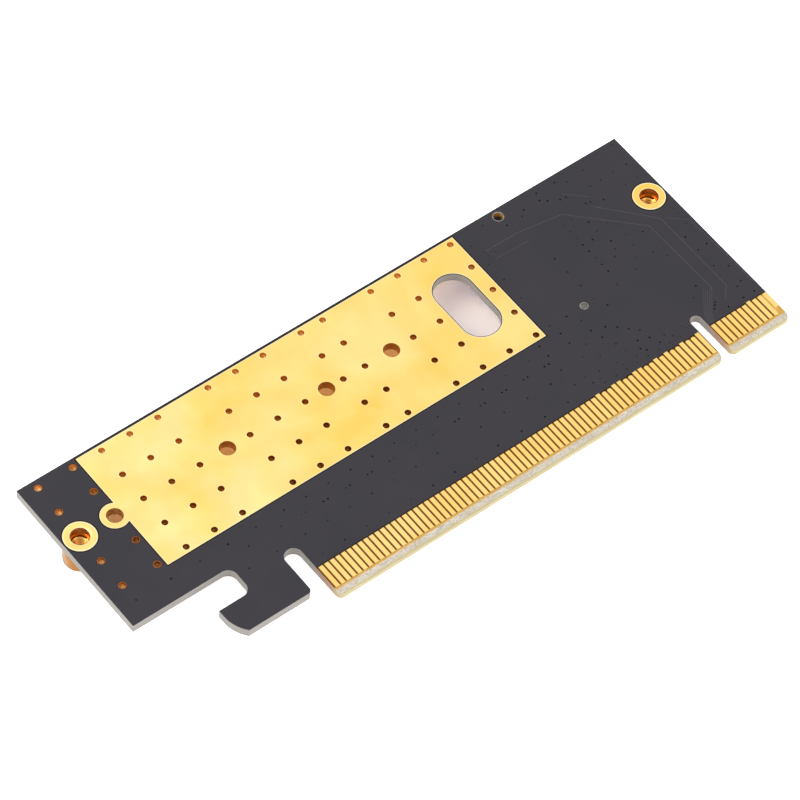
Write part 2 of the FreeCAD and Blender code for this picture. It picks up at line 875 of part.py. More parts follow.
def make_lamp():
    """A chip lamp: a flat base, a clear lens with chamfered edges and two end caps."""
    anchor, dx, dy, _ = LAMP_PLACE
    length = size("lamp_length")
    width = size("lamp_width")
    cap = size("lamp_cap")
    low = size("lamp_base_height")
    base = group("status_lamp_base", [chip_box(LAMP_PLACE, ZERO, ZERO, length - cap * 2, width, low)])
    caps = group("status_lamp_end_caps", chip_ends(LAMP_PLACE, ZERO, cap, width, low, length * HALF))
    lens = new_body("status_lamp_lens")
    sketch = new_sketch(lens, "YZ_Plane")
    half = size("lens_length") * HALF
    chamfer = size("lens_chamfer")
    top = -(low + size("lens_height"))
    draw_polygon(sketch, [
        (-half, -low),
        (half, -low),
        (half - chamfer, top),
        (chamfer - half, top),
    ])
    add_pad(lens, sketch, width, symmetric=True)
    place(lens, anchor + dx, line + dy)
    return [base, lens, caps]


# Build

SIGNALS_BACK = {13, 14, 16, 17, 21, 22, 25, 26, 29, 30}
SIGNALS_FRONT = {14, 15, 19, 20, 23, 24, 27, 28}
GROUNDS_BACK = {4, 12, 15, 18, 20, 23, 24, 27, 28, 31}
GROUNDS_FRONT = {4, 7, 13, 16, 18, 21, 22, 25, 26, 29, 32}
BACK_SENSE_PIN = 1
FRONT_SENSE_PIN = 81

vent_tools = make_vent_tools()
nodes = [
    make_board(vent_tools),
    make_heat_pad(vent_tools),
    make_edge_contacts("edge_contacts_back", board_thickness - film, SIGNALS_BACK, GROUNDS_BACK,
                       BACK_SENSE_PIN),
    make_edge_contacts("edge_contacts_front", ZERO, SIGNALS_FRONT, GROUNDS_FRONT,
                       FRONT_SENSE_PIN),
    make_ring("standoff_ring_tail", standoff_places[0]),
    make_ring("standoff_ring_bracket", standoff_places[1]),
    make_standoff("standoff_tail", standoff_places[0]),
    make_standoff("standoff_bracket", standoff_places[1]),
    make_socket_housing(),
    make_contacts("socket_upper_contacts", UPPER_RUNS, upper_contact_path()),
    make_contacts("socket_lower_contacts", LOWER_RUNS, lower_contact_path()),
    make_holddown("socket_holddown_near_tongue", -1),
    make_holddown("socket_holddown_near_top", 1),
]
nodes += make_chips("bulk_capacitor", BULK_PLACES, "bulk", size("bulk_height"))
nodes += make_chips("decoupling_capacitor", DECOUPLING_PLACES, "small", size("small_height"))
nodes += make_chips("resistor", RESISTOR_PLACES, "small", size("resistor_height"))
nodes += make_reservoir()
nodes += make_lamp()
doc.recompute()

# Check and write

for item in doc.Objects:
    if "Invalid" in item.State or "Error" in item.State:
        raise RuntimeError("%s did not build: %s" % (item.Label, item.State))
for node in nodes:
    if node.Shape.isNull() or not node.Shape.isValid():
        raise RuntimeError("the shape of %s is not valid" % node.Label)

os.makedirs("parts", exist_ok=True)
for node in nodes:
    node.Shape.exportStep(os.path.join("parts", node.Label + ".step"))
    box = node.Shape.BoundBox
    print("%-32s solids %3d  volume %9.3f  x %8.2f %8.2f  y %7.2f %7.2f  z %6.2f %6.2f" % (
        node.Label, len(node.Shape.Solids), node.Shape.Volume,
        box.XMin, box.XMax, box.YMin, box.YMax, box.ZMin, box.ZMax))
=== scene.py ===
# %% [markdown]
# # An adapter card for a solid-state drive
# The real object is a bare circuit board: black varnish over copper and glass fibre, a bare gold pad that
# spreads heat, a row of gold contacts on a bevelled tongue, two brass standoffs and a socket underneath.
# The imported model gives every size. This script adds the surfaces, the rims, the threads and the solder.

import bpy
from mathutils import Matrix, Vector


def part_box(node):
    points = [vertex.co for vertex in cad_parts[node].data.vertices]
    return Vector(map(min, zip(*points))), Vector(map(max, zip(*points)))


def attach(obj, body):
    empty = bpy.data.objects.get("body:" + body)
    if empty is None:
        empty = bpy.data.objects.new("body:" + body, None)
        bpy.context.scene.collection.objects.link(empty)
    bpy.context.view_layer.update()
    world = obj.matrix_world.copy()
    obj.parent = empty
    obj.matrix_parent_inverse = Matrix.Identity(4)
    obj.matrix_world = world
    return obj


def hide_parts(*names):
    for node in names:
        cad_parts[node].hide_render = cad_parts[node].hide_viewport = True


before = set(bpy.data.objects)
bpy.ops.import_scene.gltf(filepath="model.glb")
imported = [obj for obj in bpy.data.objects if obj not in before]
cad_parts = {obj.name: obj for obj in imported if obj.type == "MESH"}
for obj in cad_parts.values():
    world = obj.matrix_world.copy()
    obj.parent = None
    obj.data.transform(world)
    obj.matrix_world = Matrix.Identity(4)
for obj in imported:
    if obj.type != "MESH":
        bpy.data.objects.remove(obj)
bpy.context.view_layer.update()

# %% [markdown]
# The board's own box gives the card's length, its height and its two faces. Varnish and gold are thin films
# on the laminate, so the laminate's faces lie a film's thickness inside the board's.

# %% Modules and the card's own measures
import math

import bmesh
import bpy
from mathutils import Matrix, Vector

MM = 0.001
FULL_TURN = 2 * math.pi
board_low, board_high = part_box("circuit_board")
LENGTH = (board_high.x - board_low.x) / MM
HEIGHT = (board_high.y - board_low.y) / MM
BACK = board_high.z / MM
FRONT = board_low.z / MM
FILM = 0.05
CORE_BACK = BACK - FILM
CORE_FRONT = FRONT + FILM
print("board", round(LENGTH, 2), "by", round(HEIGHT, 2), "mm, from z", round(FRONT, 2), "to", round(BACK, 2))

# %% [markdown]
# Every place on the card is measured the way a drafter would do it: millimetres along the card from its tail
# end, and millimetres up from the contact edge. One function turns such a place into the frame's metres, so
# that all meshes are made where they belong and their objects stay at the origin.

# %% Places on the card
def spot(along, up, level=BACK):
    return Vector((board_low.x + along * MM, board_low.y + up * MM, level * MM))


def along_of(node, side):
    """How far along the card a side of a node's box lies."""
    return (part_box(node)[side].x - board_low.x) / MM


def up_of(node, side):
    return (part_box(node)[side].y - board_low.y) / MM


LINE = (up_of("standoff_tail", 0) + up_of("standoff_tail", 1)) / 2
TAIL_STANDOFF = (along_of("standoff_tail", 0) + along_of("standoff_tail", 1)) / 2
BRACKET_STANDOFF = (along_of("standoff_bracket", 0) + along_of("standoff_bracket", 1)) / 2
STANDOFFS = [(TAIL_STANDOFF, LINE), (BRACKET_STANDOFF, LINE)]
STANDOFF_RADIUS = (along_of("standoff_tail", 1) - along_of("standoff_tail", 0)) / 2
STANDOFF_HOLE = 1.5
SCREW_RADIUS = 1.27
SCREW_RING = 2.2
SCREW_STEPS = (0, 20, 38, 50)
LONG_SCREW = along_of("heat_pad", 0) + SCREW_RING
SCREWS = [LONG_SCREW + step for step in SCREW_STEPS]
SCREW_HOLES = [(along, LINE) for along in SCREWS]
LOBE_REACH = 1.15
PAD_LEFT = LONG_SCREW + LOBE_REACH
PAD_RIGHT = along_of("heat_pad", 1)
PAD_LOW = up_of("heat_pad", 0)
PAD_HIGH = up_of("heat_pad", 1)
OVAL_INSET = 6.02
OVAL = PAD_RIGHT - OVAL_INSET
OVAL_WIDTH = 6.4
OVAL_LENGTH = 12.55
NOTCH_INSET = 11.95
NOTCH_WIDTH = 1.93
NOTCH = LENGTH - NOTCH_INSET
LONG_TONGUE = 72.13
TONGUE = NOTCH - LONG_TONGUE
SLOT_WIDTH = 2.84
HOOK_SIDE = TONGUE - SLOT_WIDTH
print("module line", round(LINE, 2), "screw holes at", [round(place, 2) for place in SCREWS])

# %% [markdown]
# The vent holes lie in five rows, and their columns come in groups between the screw holes. The oval slot
# takes the place of three holes in one column. The socket's two pegs show in holes of their own.

# %% Vents and peg holes
VENT_RADIUS = 0.5
VENT_ROW = 5.1
# Each group: its first column, the pitch of its columns, and how many there are.
VENT_GROUPS = [(SCREWS[0] + 5.06, 5.0, 3), (SCREWS[1] + 4.08, 5.0, 3), (SCREWS[2] + 3.06, 4.0, 2),
               (SCREWS[3] + 4.03, 5.0, 4)]
PEG_RIM = 0.12
PEG_INSET = 2.11
PEG_SPACING = 20.37
PEG_ALONG = along_of("socket_housing", 0) + PEG_INSET
PEGS = [(PEG_ALONG, LINE + PEG_SPACING / 2, 0.8), (PEG_ALONG, LINE - PEG_SPACING / 2, 0.55)]


def vent_places():
    places = []
    for start, pitch, count in VENT_GROUPS:
        for column in range(count):
            along = start + pitch * column
            beside_oval = abs(along - OVAL) > OVAL_WIDTH / 2 + VENT_RADIUS
            rows = (-2, -1, 0, 1, 2) if beside_oval else (-2, 2)
            places += [(along, LINE + VENT_ROW * row) for row in rows]
    return places


VENTS = vent_places()
OUTER_VENTS = [(along, LINE + VENT_ROW * row)
               for along in (TAIL_STANDOFF, LONG_SCREW) for row in (-2, -1, 1, 2)]
print(len(VENTS), "vent holes in the pad and", len(OUTER_VENTS), "beside it")

# %% [markdown]
# Materials come first. A shader graph is easiest to read when each helper does one thing: a noise on Object
# coordinates, a ramp that turns it into colour or roughness, a bump. Object coordinates are metres here, so a
# noise scale of 1000 gives spots about a millimetre across.

# %% Shader helpers
def linear(red, green, blue):
    """A colour picked on a screen, as the linear light that a shader wants."""
    def channel(value):
        value = value / 255
        return value / 12.92 if value <= 0.04045 else ((value + 0.055) / 1.055) ** 2.4
    return (channel(red), channel(green), channel(blue), 1.0)


def new_material(name, roughness=0.5, metallic=0.0, specular=0.5):
    material = bpy.data.materials.new(name)
    material.use_nodes = True
    shader = material.node_tree.nodes["Principled BSDF"]
    shader.inputs["Roughness"].default_value = roughness
    shader.inputs["Metallic"].default_value = metallic
    shader.inputs["Specular IOR Level"].default_value = specular
    return material, material.node_tree, shader


def object_coordinates(tree, stretch=(1, 1, 1)):
    texture = tree.nodes.new("ShaderNodeTexCoord")
    mapping = tree.nodes.new("ShaderNodeMapping")
    mapping.inputs["Scale"].default_value = stretch
    tree.links.new(texture.outputs["Object"], mapping.inputs["Vector"])
    return mapping.outputs["Vector"]


def noise(tree, scale, detail, stretch=(1, 1, 1)):
    node = tree.nodes.new("ShaderNodeTexNoise")
    node.inputs["Scale"].default_value = scale
    node.inputs["Detail"].default_value = detail
    tree.links.new(object_coordinates(tree, stretch), node.inputs["Vector"])
    return node.outputs["Fac"]


def ramp(tree, source, stops):
    """A ramp between two stops; each is a place from 0 to 1 and its colour."""
    node = tree.nodes.new("ShaderNodeValToRGB")
    for element, (place, colour) in zip(node.color_ramp.elements, stops):
        element.position = place
        element.color = colour
    tree.links.new(source, node.inputs["Fac"])
    return node.outputs["Color"]


def grey(value):
    return (value, value, value, 1.0)


def mix_colours(tree, factor, first, second):
    node = tree.nodes.new("ShaderNodeMix")
    node.data_type = "RGBA"
    tree.links.new(factor, node.inputs["Factor"])
    for socket, value in (("A", first), ("B", second)):
        target = [item for item in node.inputs if item.name == socket and item.type == "RGBA"][0]
        if isinstance(value, tuple):
            target.default_value = value
        else:
            tree.links.new(value, target)
    return [item for item in node.outputs if item.type == "RGBA"][0]


def maths(tree, operation, first, second):
    node = tree.nodes.new("ShaderNodeMath")
    node.operation = operation
    tree.links.new(first, node.inputs[0])
    tree.links.new(second, node.inputs[1])
    return node.outputs[0]


def bump(tree, shader, height, strength, distance):
    node = tree.nodes.new("ShaderNodeBump")
    node.inputs["Strength"].default_value = strength
    node.inputs["Distance"].default_value = distance
    tree.links.new(height, node.inputs["Height"])
    tree.links.new(node.outputs["Normal"], shader.inputs["Normal"])


def coordinate_band(tree, axis, low, high):
    """A factor that runs from 0 to 1 while one Object coordinate, in metres, runs from low to high."""
    texture = tree.nodes.new("ShaderNodeTexCoord")
    split = tree.nodes.new("ShaderNodeSeparateXYZ")
    band = tree.nodes.new("ShaderNodeMapRange")
    tree.links.new(texture.outputs["Object"], split.inputs["Vector"])
    tree.links.new(split.outputs[axis], band.inputs["Value"])
    band.inputs["From Min"].default_value = low
    band.inputs["From Max"].default_value = high
    return band.outputs["Result"]


def along_band(tree, low, high):
    """The same between two places along the card, in millimetres."""
    return coordinate_band(tree, "X", spot(low, 0).x, spot(high, 0).x)


def up_band(tree, low, high):
    """The same between two heights above the contact edge."""
    return coordinate_band(tree, "Y", spot(0, low).y, spot(0, high).y)


def two_tone(tree, source, dark, pale, low=0.35, high=0.65):
    """A ramp between two screen colours."""
    return ramp(tree, source, [(low, linear(*dark)), (high, linear(*pale))])


def wander(tree, source, middle, spread):
    """A roughness that drifts a little round its middle value."""
    return ramp(tree, source, [(0.3, grey(middle - spread)), (0.7, grey(middle + spread))])


# %% [markdown]
# The varnish is a satin black that looks dark violet grey under a soft light. The light comes from the
# reflection more than from the colour, so the base stays almost black and the roughness wanders a little.

# %% Varnish
def make_varnish():
    material, tree, shader = new_material("varnish")
    tree.links.new(two_tone(tree, noise(tree, 120, 3), (20, 17, 27), (28, 24, 33), 0.3, 0.7),
                   shader.inputs["Base Color"])
    tree.links.new(wander(tree, noise(tree, 400, 4), 0.4, 0.04), shader.inputs["Roughness"])
    bump(tree, shader, noise(tree, 2500, 3), 0.10, 0.00003)
    return material


VARNISH = make_varnish()
print("made", VARNISH.name)

# %% [markdown]
# The laminate is woven glass in resin. A router cut the outline and left grey walls with thin layers and
# upright marks. Towards the contact edge the walls turn pink and then yellow. The bevel was milled through
# the cloth, and the bare face round the contacts is honey brown. Each kind of surface has a material of its
# own, and bands across the card place the changes.

# %% Laminate
PINK_BAND = (6.5, 3.5)
YELLOW_BAND = (2.2, 0.3)
BEVEL_FOOT = (0.45, 0.0)
BEFORE_LAST_CONTACT = (LENGTH - 1.45, LENGTH - 1.5)
# Painted shade on the bare laminate: darker between the contacts and near black above them.
SHADE_BETWEEN_CONTACTS = (1.25, 1.6)
SHADE_ABOVE_CONTACTS = (5.3, 5.7)


def make_laminate():
    """Routed glass fibre: grey, with thin layers and the marks of the router."""
    material, tree, shader = new_material("laminate_edge", 0.62)
    layers = noise(tree, 1500, 3, (0.15, 0.15, 4.0))
    marks = noise(tree, 900, 3, (1.0, 1.0, 0.1))
    fibre = two_tone(tree, layers, (144, 139, 133), (176, 170, 164))
    pink = two_tone(tree, layers, (172, 138, 116), (194, 166, 144))
    yellow = two_tone(tree, layers, (196, 180, 132), (216, 202, 160))
    grain = mix_colours(tree, marks, fibre, linear(162, 157, 152))
    bare = mix_colours(tree, up_band(tree, *YELLOW_BAND), pink, yellow)
    near_contacts = maths(tree, "MULTIPLY", along_band(tree, HOOK_SIDE, TONGUE), up_band(tree, *PINK_BAND))
    tree.links.new(mix_colours(tree, near_contacts, grain, bare), shader.inputs["Base Color"])
    bump(tree, shader, marks, 0.25, 0.00004)
    return material


def make_bevel_laminate():
    """Pale cloth with grey green specks, and yellower at its foot."""
    material, tree, shader = new_material("laminate_bevel", 0.7)
    cloth = two_tone(tree, noise(tree, 900, 3, (0.35, 1.0, 1.0)), (179, 167, 149), (197, 189, 175))
    specks = ramp(tree, noise(tree, 5200, 2, (0.5, 1.0, 1.0)), [(0.50, grey(0.0)), (0.60, grey(1.0))])
    speckled = mix_colours(tree, specks, cloth, linear(158, 153, 138))
    foot = up_band(tree, *BEVEL_FOOT)
    tree.links.new(mix_colours(tree, foot, speckled, linear(172, 164, 120)), shader.inputs["Base Color"])
    bump(tree, shader, noise(tree, 2600, 3), 0.35, 0.00004)
    return material


def make_bare_laminate():
    """Bare laminate by the contacts: honey brown, painted darker between them as shade and gold reflection,
    and near black in the gaps above.
    """
    material, tree, shader = new_material("laminate_face", 0.6, specular=0.15)
    honey = two_tone(tree, noise(tree, 900, 2), (180, 138, 66), (198, 158, 86), 0.3, 0.7)
    between = maths(tree, "MULTIPLY", up_band(tree, *SHADE_BETWEEN_CONTACTS), along_band(tree, *BEFORE_LAST_CONTACT))
    # Painted shade and painted gold reflection: darker brown between the contacts.
    brown = mix_colours(tree, between, honey, linear(104, 58, 4))
    above = up_band(tree, *SHADE_ABOVE_CONTACTS)
    # Near black above the contacts, in the thin gaps round the gold: painted shade over the laminate's own
    # dark brown.
    tree.links.new(mix_colours(tree, above, brown, linear(26, 13, 3)), shader.inputs["Base Color"])
    return material


def make_matt(name, dark, pale):
    """Drilled fibre or thin varnish: matt, with a slow change between two colours."""
    material, tree, shader = new_material(name)
    tree.links.new(two_tone(tree, noise(tree, 1600, 3), dark, pale), shader.inputs["Base Color"])
    return material


LAMINATE = make_laminate()
BEVEL_LAMINATE = make_bevel_laminate()
BARE_LAMINATE = make_bare_laminate()
print("laminate turns pink below", PINK_BAND[0], "mm and yellow below", YELLOW_BAND[0], "mm")

# %% [markdown]
# Gold, copper and brass are plain metals: a colour, a roughness and a fine grain. Plating drifts in tone
# over some centimetres, which a slow noise does, and the pad and the contacts grow warmer towards the bracket
# end. Down in a hole the gold mirrors itself. That deeper colour is painted shade: a gold of its own without
# grain, painted darker still towards the contact edge.

# %% Gold, copper and brass
def make_gold(name, pale, deep, roughness, spread=0.06, mottle=90, kept_blue=1.0):
    """A metal whose tone drifts; kept_blue is the share of its blue that is left at the bracket end."""
    material, tree, shader = new_material(name, metallic=1.0)
    tone = noise(tree, mottle, 4)
    colour = two_tone(tree, tone, deep, pale)
    if kept_blue < 1:
        kept_green = (2 + kept_blue) / 3
        warm = [(red, green * kept_green, blue * kept_blue, alpha)
                for red, green, blue, alpha in (linear(*deep), linear(*pale))]
        warmer = ramp(tree, tone, [(0.35, warm[0]), (0.65, warm[1])])
        colour = mix_colours(tree, along_band(tree, PAD_LEFT, PAD_RIGHT), colour, warmer)
    tree.links.new(colour, shader.inputs["Base Color"])
    tree.links.new(wander(tree, noise(tree, mottle * 2.2, 3), roughness, spread), shader.inputs["Roughness"])
    bump(tree, shader, noise(tree, 3000, 3), 0.12, 0.00002)
    return material


def make_barrel_gold():
    """Gold down in a narrow hole, with painted shade: orange, and painted darker towards the contact edge."""
    material, tree, shader = new_material("barrel_gold_painted_shade", 0.36, 1.0)
    # Painted shade: the wall's colour darkens from the top of the pad down to the contact edge.
    across = up_band(tree, PAD_LOW, PAD_HIGH)
    tree.links.new(two_tone(tree, across, (190, 122, 54), (238, 182, 110), 0.0, 1.0),
                   shader.inputs["Base Color"])
    return material


PAD_GOLD = make_gold("pad_gold", (255, 232, 158), (255, 218, 116), 0.34, kept_blue=0.76)
# A paler gold for borders and eased rims: a painted highlight.
HIGHLIGHT_RIM_GOLD = make_gold("rim_gold_painted_highlight", (255, 246, 206), (255, 240, 186), 0.3, 0.04, 300)
CONTACT_GOLD = make_gold("contact_gold", (255, 228, 150), (255, 218, 132), 0.28, 0.04, 200, 0.8)
BARREL_GOLD_PAINTED_SHADE = make_barrel_gold()
DULL_COPPER = make_gold("dull_copper", (172, 108, 58), (150, 88, 44), 0.5, 0.05, 500)
BRASS = make_gold("turned_brass", (204, 142, 44), (176, 110, 28), 0.2, 0.04, 500)
# A paler brass for the thread: a painted highlight on its crests, and less of the orange that reflections in
# the bore give.
THREAD_BRASS_PAINTED_HIGHLIGHT = make_gold("thread_brass_painted_highlight", (216, 164, 88), (194, 138, 62), 0.32, 0.04, 500)
print("materials", len(bpy.data.materials))

# %% [markdown]
# A flat part with holes is quickest from its edges: draw the outline as one face of a few corners, round the
# corners with a vertex bevel, add circles for the holes, and let triangle_fill make the face between all of
# the loops. An extrusion then gives it its thickness.

# %% Helpers for flat parts
ROUND_STEPS = 12
VENT_STEPS = 24
HOLE_STEPS = 48
RING_STEPS = 64
PEG_LOOP_STEPS = 32
# A rounding reaches a hair less far than its corner says, so that two of them never meet in one point.
HAIR_LESS = 0.9999


def outline_corners(low):
    """The card's outline, clockwise from its tail end, with how far from each corner its rounding starts."""
    front_edge = 12.93
    notch_top = 8.45
    half_notch = NOTCH_WIDTH / 2
    slot_top = 10.5
    half_slot = SLOT_WIDTH / 2
    stem = HOOK_SIDE - 6.9
    stem_round = 1.5
    hook_tip = stem - 5.77
    hook_bottom = 2.85
    hook_top = hook_bottom + 5.05
    hook_round = 0.7
    nose_along = 1.55
    nose_up = 1.8
    nose_round = 1.85
    tongue_round = 0.8 if low == 0 else 0
    return [
        (0, front_edge, 0),
        (0, HEIGHT, 0),
        (LENGTH, HEIGHT, 0),
        (LENGTH, low, tongue_round),
        (NOTCH + half_notch, low, tongue_round),
        (NOTCH + half_notch, notch_top, half_notch),
        (NOTCH - half_notch, notch_top, half_notch),
        (NOTCH - half_notch, low, tongue_round),
        (TONGUE, low, tongue_round),
        (TONGUE, slot_top, half_slot),
        (HOOK_SIDE, slot_top, half_slot),
        (HOOK_SIDE, hook_bottom, hook_round),
        (hook_tip + nose_along, hook_bottom, 0),
        (hook_tip, hook_bottom + nose_up, nose_round),
        (hook_tip, hook_top, 0),
        (stem, hook_top, stem_round),
        (stem, front_edge, stem_round),
    ]


def rounded_loop(bm, corners, level):
    """A closed loop of edges through the corners, each rounded as far as it says."""
    verts = [bm.verts.new(spot(along, up, level)) for along, up, _ in corners]
    bm.faces.new(verts)
    for reach in sorted({corner[2] for corner in corners if corner[2] > 0}):
        chosen = [vert for vert, corner in zip(verts, corners) if corner[2] == reach]
        bmesh.ops.bevel(bm, geom=chosen, offset=reach * MM * HAIR_LESS, offset_type="OFFSET",
                        segments=ROUND_STEPS, profile=0.5, affect="VERTICES", material=-1)
    bmesh.ops.delete(bm, geom=bm.faces[:], context="FACES_ONLY")


def circle_loops(bm, places, radius, level, steps=PEG_LOOP_STEPS):
    """A loop of edges round each place. Returns the corners of all of them."""
    verts = []
    for along, up in places:
        made = bmesh.ops.create_circle(bm, cap_ends=False, segments=steps, radius=radius * MM,
                                       matrix=Matrix.Translation(spot(along, up, level)))
        verts += made["verts"]
    return verts


def oval_loop(bm, level, grow=0.0):
    """The slot's border: a circle whose upper half moves up and lower half down."""
    shift = (OVAL_LENGTH - OVAL_WIDTH) / 2 * MM
    middle = spot(OVAL, LINE).y
    for vert in circle_loops(bm, [(OVAL, LINE)], OVAL_WIDTH / 2 + grow, level, HOLE_STEPS):
        vert.co.y += math.copysign(shift, vert.co.y - middle)


def fill(bm):
    """Fill the sheet between all of the loops."""
    bmesh.ops.triangle_fill(bm, use_beauty=True, use_dissolve=False, edges=bm.edges[:])


def verts_of(items):
    return [item for item in items if isinstance(item, bmesh.types.BMVert)]


def face_outwards(bm):
    bmesh.ops.recalc_face_normals(bm, faces=bm.faces[:])


def thicken(bm, thickness):
    """Give the sheet its thickness, upwards."""
    made = bmesh.ops.extrude_face_region(bm, geom=bm.faces[:])
    bmesh.ops.translate(bm, verts=verts_of(made["geom"]), vec=(0, 0, thickness * MM))
    face_outwards(bm)


def add_object(name, data):
    item = bpy.data.objects.new(name, data)
    bpy.context.scene.collection.objects.link(item)
    return item


def add_mesh(bm, name, materials):
    """Turn a bmesh into an object with these materials."""
    mesh = bpy.data.meshes.new(name)
    bm.to_mesh(mesh)
    bm.free()
    for material in materials:
        mesh.materials.append(material)
    return add_object(name, mesh)


def finished(bm, name, materials, replaces=(), crease=35):
    """Turn a bmesh into a piece of the part that rides on the body."""
    for face in bm.faces:
        face.smooth = True
    piece = add_mesh(bm, name, materials)
    mesh = piece.data
    mesh.set_sharp_from_angle(angle=math.radians(crease))
    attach(piece, "root")
    if replaces:
        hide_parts(*replaces)
    print(name, len(mesh.polygons), "faces")


# %% [markdown]
# The core of the board is 1.5 mm of glass fibre. Its walls, its milled bevel and its bare faces look
# different, so the faces get their material by where they lie and which way they face.

# %% Laminate core
BEVEL_HEIGHT = 1.05
BEVEL_DEPTH = 0.35
PLATING = 0.04
HAIR = 1e-8


def shape_bevel(bm):
    """Split the tongue along the bevel's upper line and slope everything below it towards the middle."""
    bmesh.ops.bisect_plane(bm, geom=bm.verts[:] + bm.edges[:] + bm.faces[:], dist=HAIR,
                           plane_co=spot(0, BEVEL_HEIGHT), plane_no=(0, 1, 0))
    middle = (BACK + FRONT) / 2 * MM
    for vert in bm.verts:
        below = BEVEL_HEIGHT * MM - (vert.co.y - board_low.y)
        if below > HAIR:
            slope = below / (BEVEL_HEIGHT * MM) * BEVEL_DEPTH * MM
            vert.co.z -= math.copysign(slope, vert.co.z - middle)


def make_core():
    bm = bmesh.new()
    rounded_loop(bm, outline_corners(0), CORE_FRONT)
    circle_loops(bm, VENTS + OUTER_VENTS, VENT_RADIUS + PLATING, CORE_FRONT, VENT_STEPS)
    circle_loops(bm, SCREW_HOLES, SCREW_RADIUS + PLATING, CORE_FRONT, HOLE_STEPS)
    circle_loops(bm, STANDOFFS, STANDOFF_HOLE + PLATING, CORE_FRONT, HOLE_STEPS)
    for along, up, radius in PEGS:
        circle_loops(bm, [(along, up)], radius, CORE_FRONT)
    oval_loop(bm, CORE_FRONT)
    fill(bm)
    thicken(bm, CORE_BACK - CORE_FRONT)
    shape_bevel(bm)
    for face in bm.faces:
        is_wall = abs(face.normal.z) < 0.1
        on_bevel = face.calc_center_median().y < board_low.y + BEVEL_HEIGHT * MM
        face.material_index = 0 if is_wall else 1 if on_bevel else 2
    finished(bm, "laminate_core", [LAMINATE, BEVEL_LAMINATE, BARE_LAMINATE], ["circuit_board"],
             crease=20)


make_core()

# %% [markdown]
# Small dark dots are scattered over the card: vias, tiny plated holes that the varnish closes, painted dark
# as shade. On the real board they follow the wiring, so the rows are made by loops and only the scattered
# ones are listed. The places count from the first contact along the card.

# %% Vias
FIRST_CONTACT = 27.42
LIST_RISE = 0.1
# Each run: where it starts along and up, its step along and up, and how many vias it has.
VIA_RUNS = [
    (3.1, 14.0, 4.0, 0, 8), (3.9, 14.0, 4.0, 0, 8), (35.9, 14.0, 4.0, 0, 4), (36.7, 14.0, 4.0, 0, 4),
    (66.7, 22.1, 0, 1.5, 8), (61.6, 19.35, 0, 3.05, 4), (53.4, 6.6, 2.05, 0, 8), (49.6, 17.3, 4.0, 0, 3),
    (53.96, 34.7, 0, 0.9, 2), (55.19, 34.7, 0, 0.9, 2),
]
for up in (16.1, 11.05, 7.0):
    VIA_RUNS += [(1.6, up, 4.0, 0, 8), (33.6, up, 4.35, 0, 4)]
SCATTERED_VIAS = [
    (-24.5, 16.1), (-18.4, 16.1), (-13.3, 16.1), (-8.4, 16.1), (-3.4, 16.1), (-8.4, 11.05), (-3.4, 11.05),
    (62.6, 17.3),
    (-0.4, 14.1), (-6.2, 14.1), (49.6, 15.2), (53.6, 15.2), (57.6, 15.1), (59.8, 14.4), (55.5, 13.6),
    (58.2, 13.2), (61.2, 13.3), (49.5, 12.1), (53.6, 12.1), (62.4, 12.1), (59.1, 11.1), (63.6, 11.0),
    (55.7, 10.6), (62.1, 9.7), (59.5, 9.3), (51.6, 9.1), (63.9, 9.1), (49.5, 8.9), (54.0, 8.75),
    (57.1, 8.3), (61.5, 8.3), (66.0, 8.2), (69.1, 7.9), (57.6, 7.6), (51.9, 7.6), (53.2, 7.6),
    (60.2, 7.6), (62.1, 7.6), (64.6, 7.5), (69.4, 7.4), (66.9, 7.3), (77.1, 6.6), (80.0, 6.6),
    (82.1, 6.6), (56.7, 39.6), (63.6, 38.35), (62.6, 37.55), (59.7, 37.55), (52.9, 37.55), (52.9, 33.4),
    (53.05, 29.9), (53.0, 25.8), (53.2, 19.3), (56.3, 19.2), (68.3, 32.7), (70.1, 30.9), (72.2, 29.2),
    (70.1, 28.9), (68.5, 28.0), (73.8, 27.5), (70.6, 26.2), (73.2, 25.9), (75.6, 24.8), (70.2, 24.7),
    (69.2, 23.6), (72.8, 23.7), (71.8, 21.7), (74.4, 20.9), (70.3, 20.0), (66.2, 19.4), (75.7, 19.2),
    (75.6, 12.4), (73.9, 10.9), (72.8, 9.5), (76.0, 8.4), (75.6, 8.0), (75.1, 7.5), (80.2, 20.3),
    (80.2, 17.3), (80.2, 13.7), (82.0, 12.4), (81.7, 9.2), (80.6, 8.7), (82.0, 17.5), (82.0, 22.2),
    (82.2, 25.5), (82.3, 40.2), (70.6, 39.7), (75.75, 39.0), (72.25, 38.7), (67.1, 39.7), (66.65, 38.35),
    (67.6, 37.6), (69.3, 36.7), (70.3, 36.5), (74.65, 36.05), (76.7, 36.05), (79.15, 36.1), (81.75, 36.1),
    (72.0, 33.9), (72.75, 33.7), (74.65, 32.9), (79.15, 33.1), (81.6, 33.2),
]
VIAS = [(FIRST_CONTACT + along, LIST_RISE + up) for along, up in SCATTERED_VIAS]
for along, up, step_along, step_up, count in VIA_RUNS:
    VIAS += [(FIRST_CONTACT + along + step_along * step, LIST_RISE + up + step_up * step)
             for step in range(count)]
print(len(VIAS), "vias")

# %% [markdown]
# The varnish is a film of its own on each face. Its outline is the card's, down to the line above the
# contacts, with a window for each bare metal area. Every window is a hair's breadth larger than its metal,
# which leaves the thin brown line that a real card shows round its gold; the laminate in it is painted near
# black, partly as shade.

# %% Varnish films
LIP_RISE = 0.02
WINDOW_GAP = 0.2
MASK_LINE = 5.75
EYELET_RADIUS = 0.6
LOBE_STEPS = 40


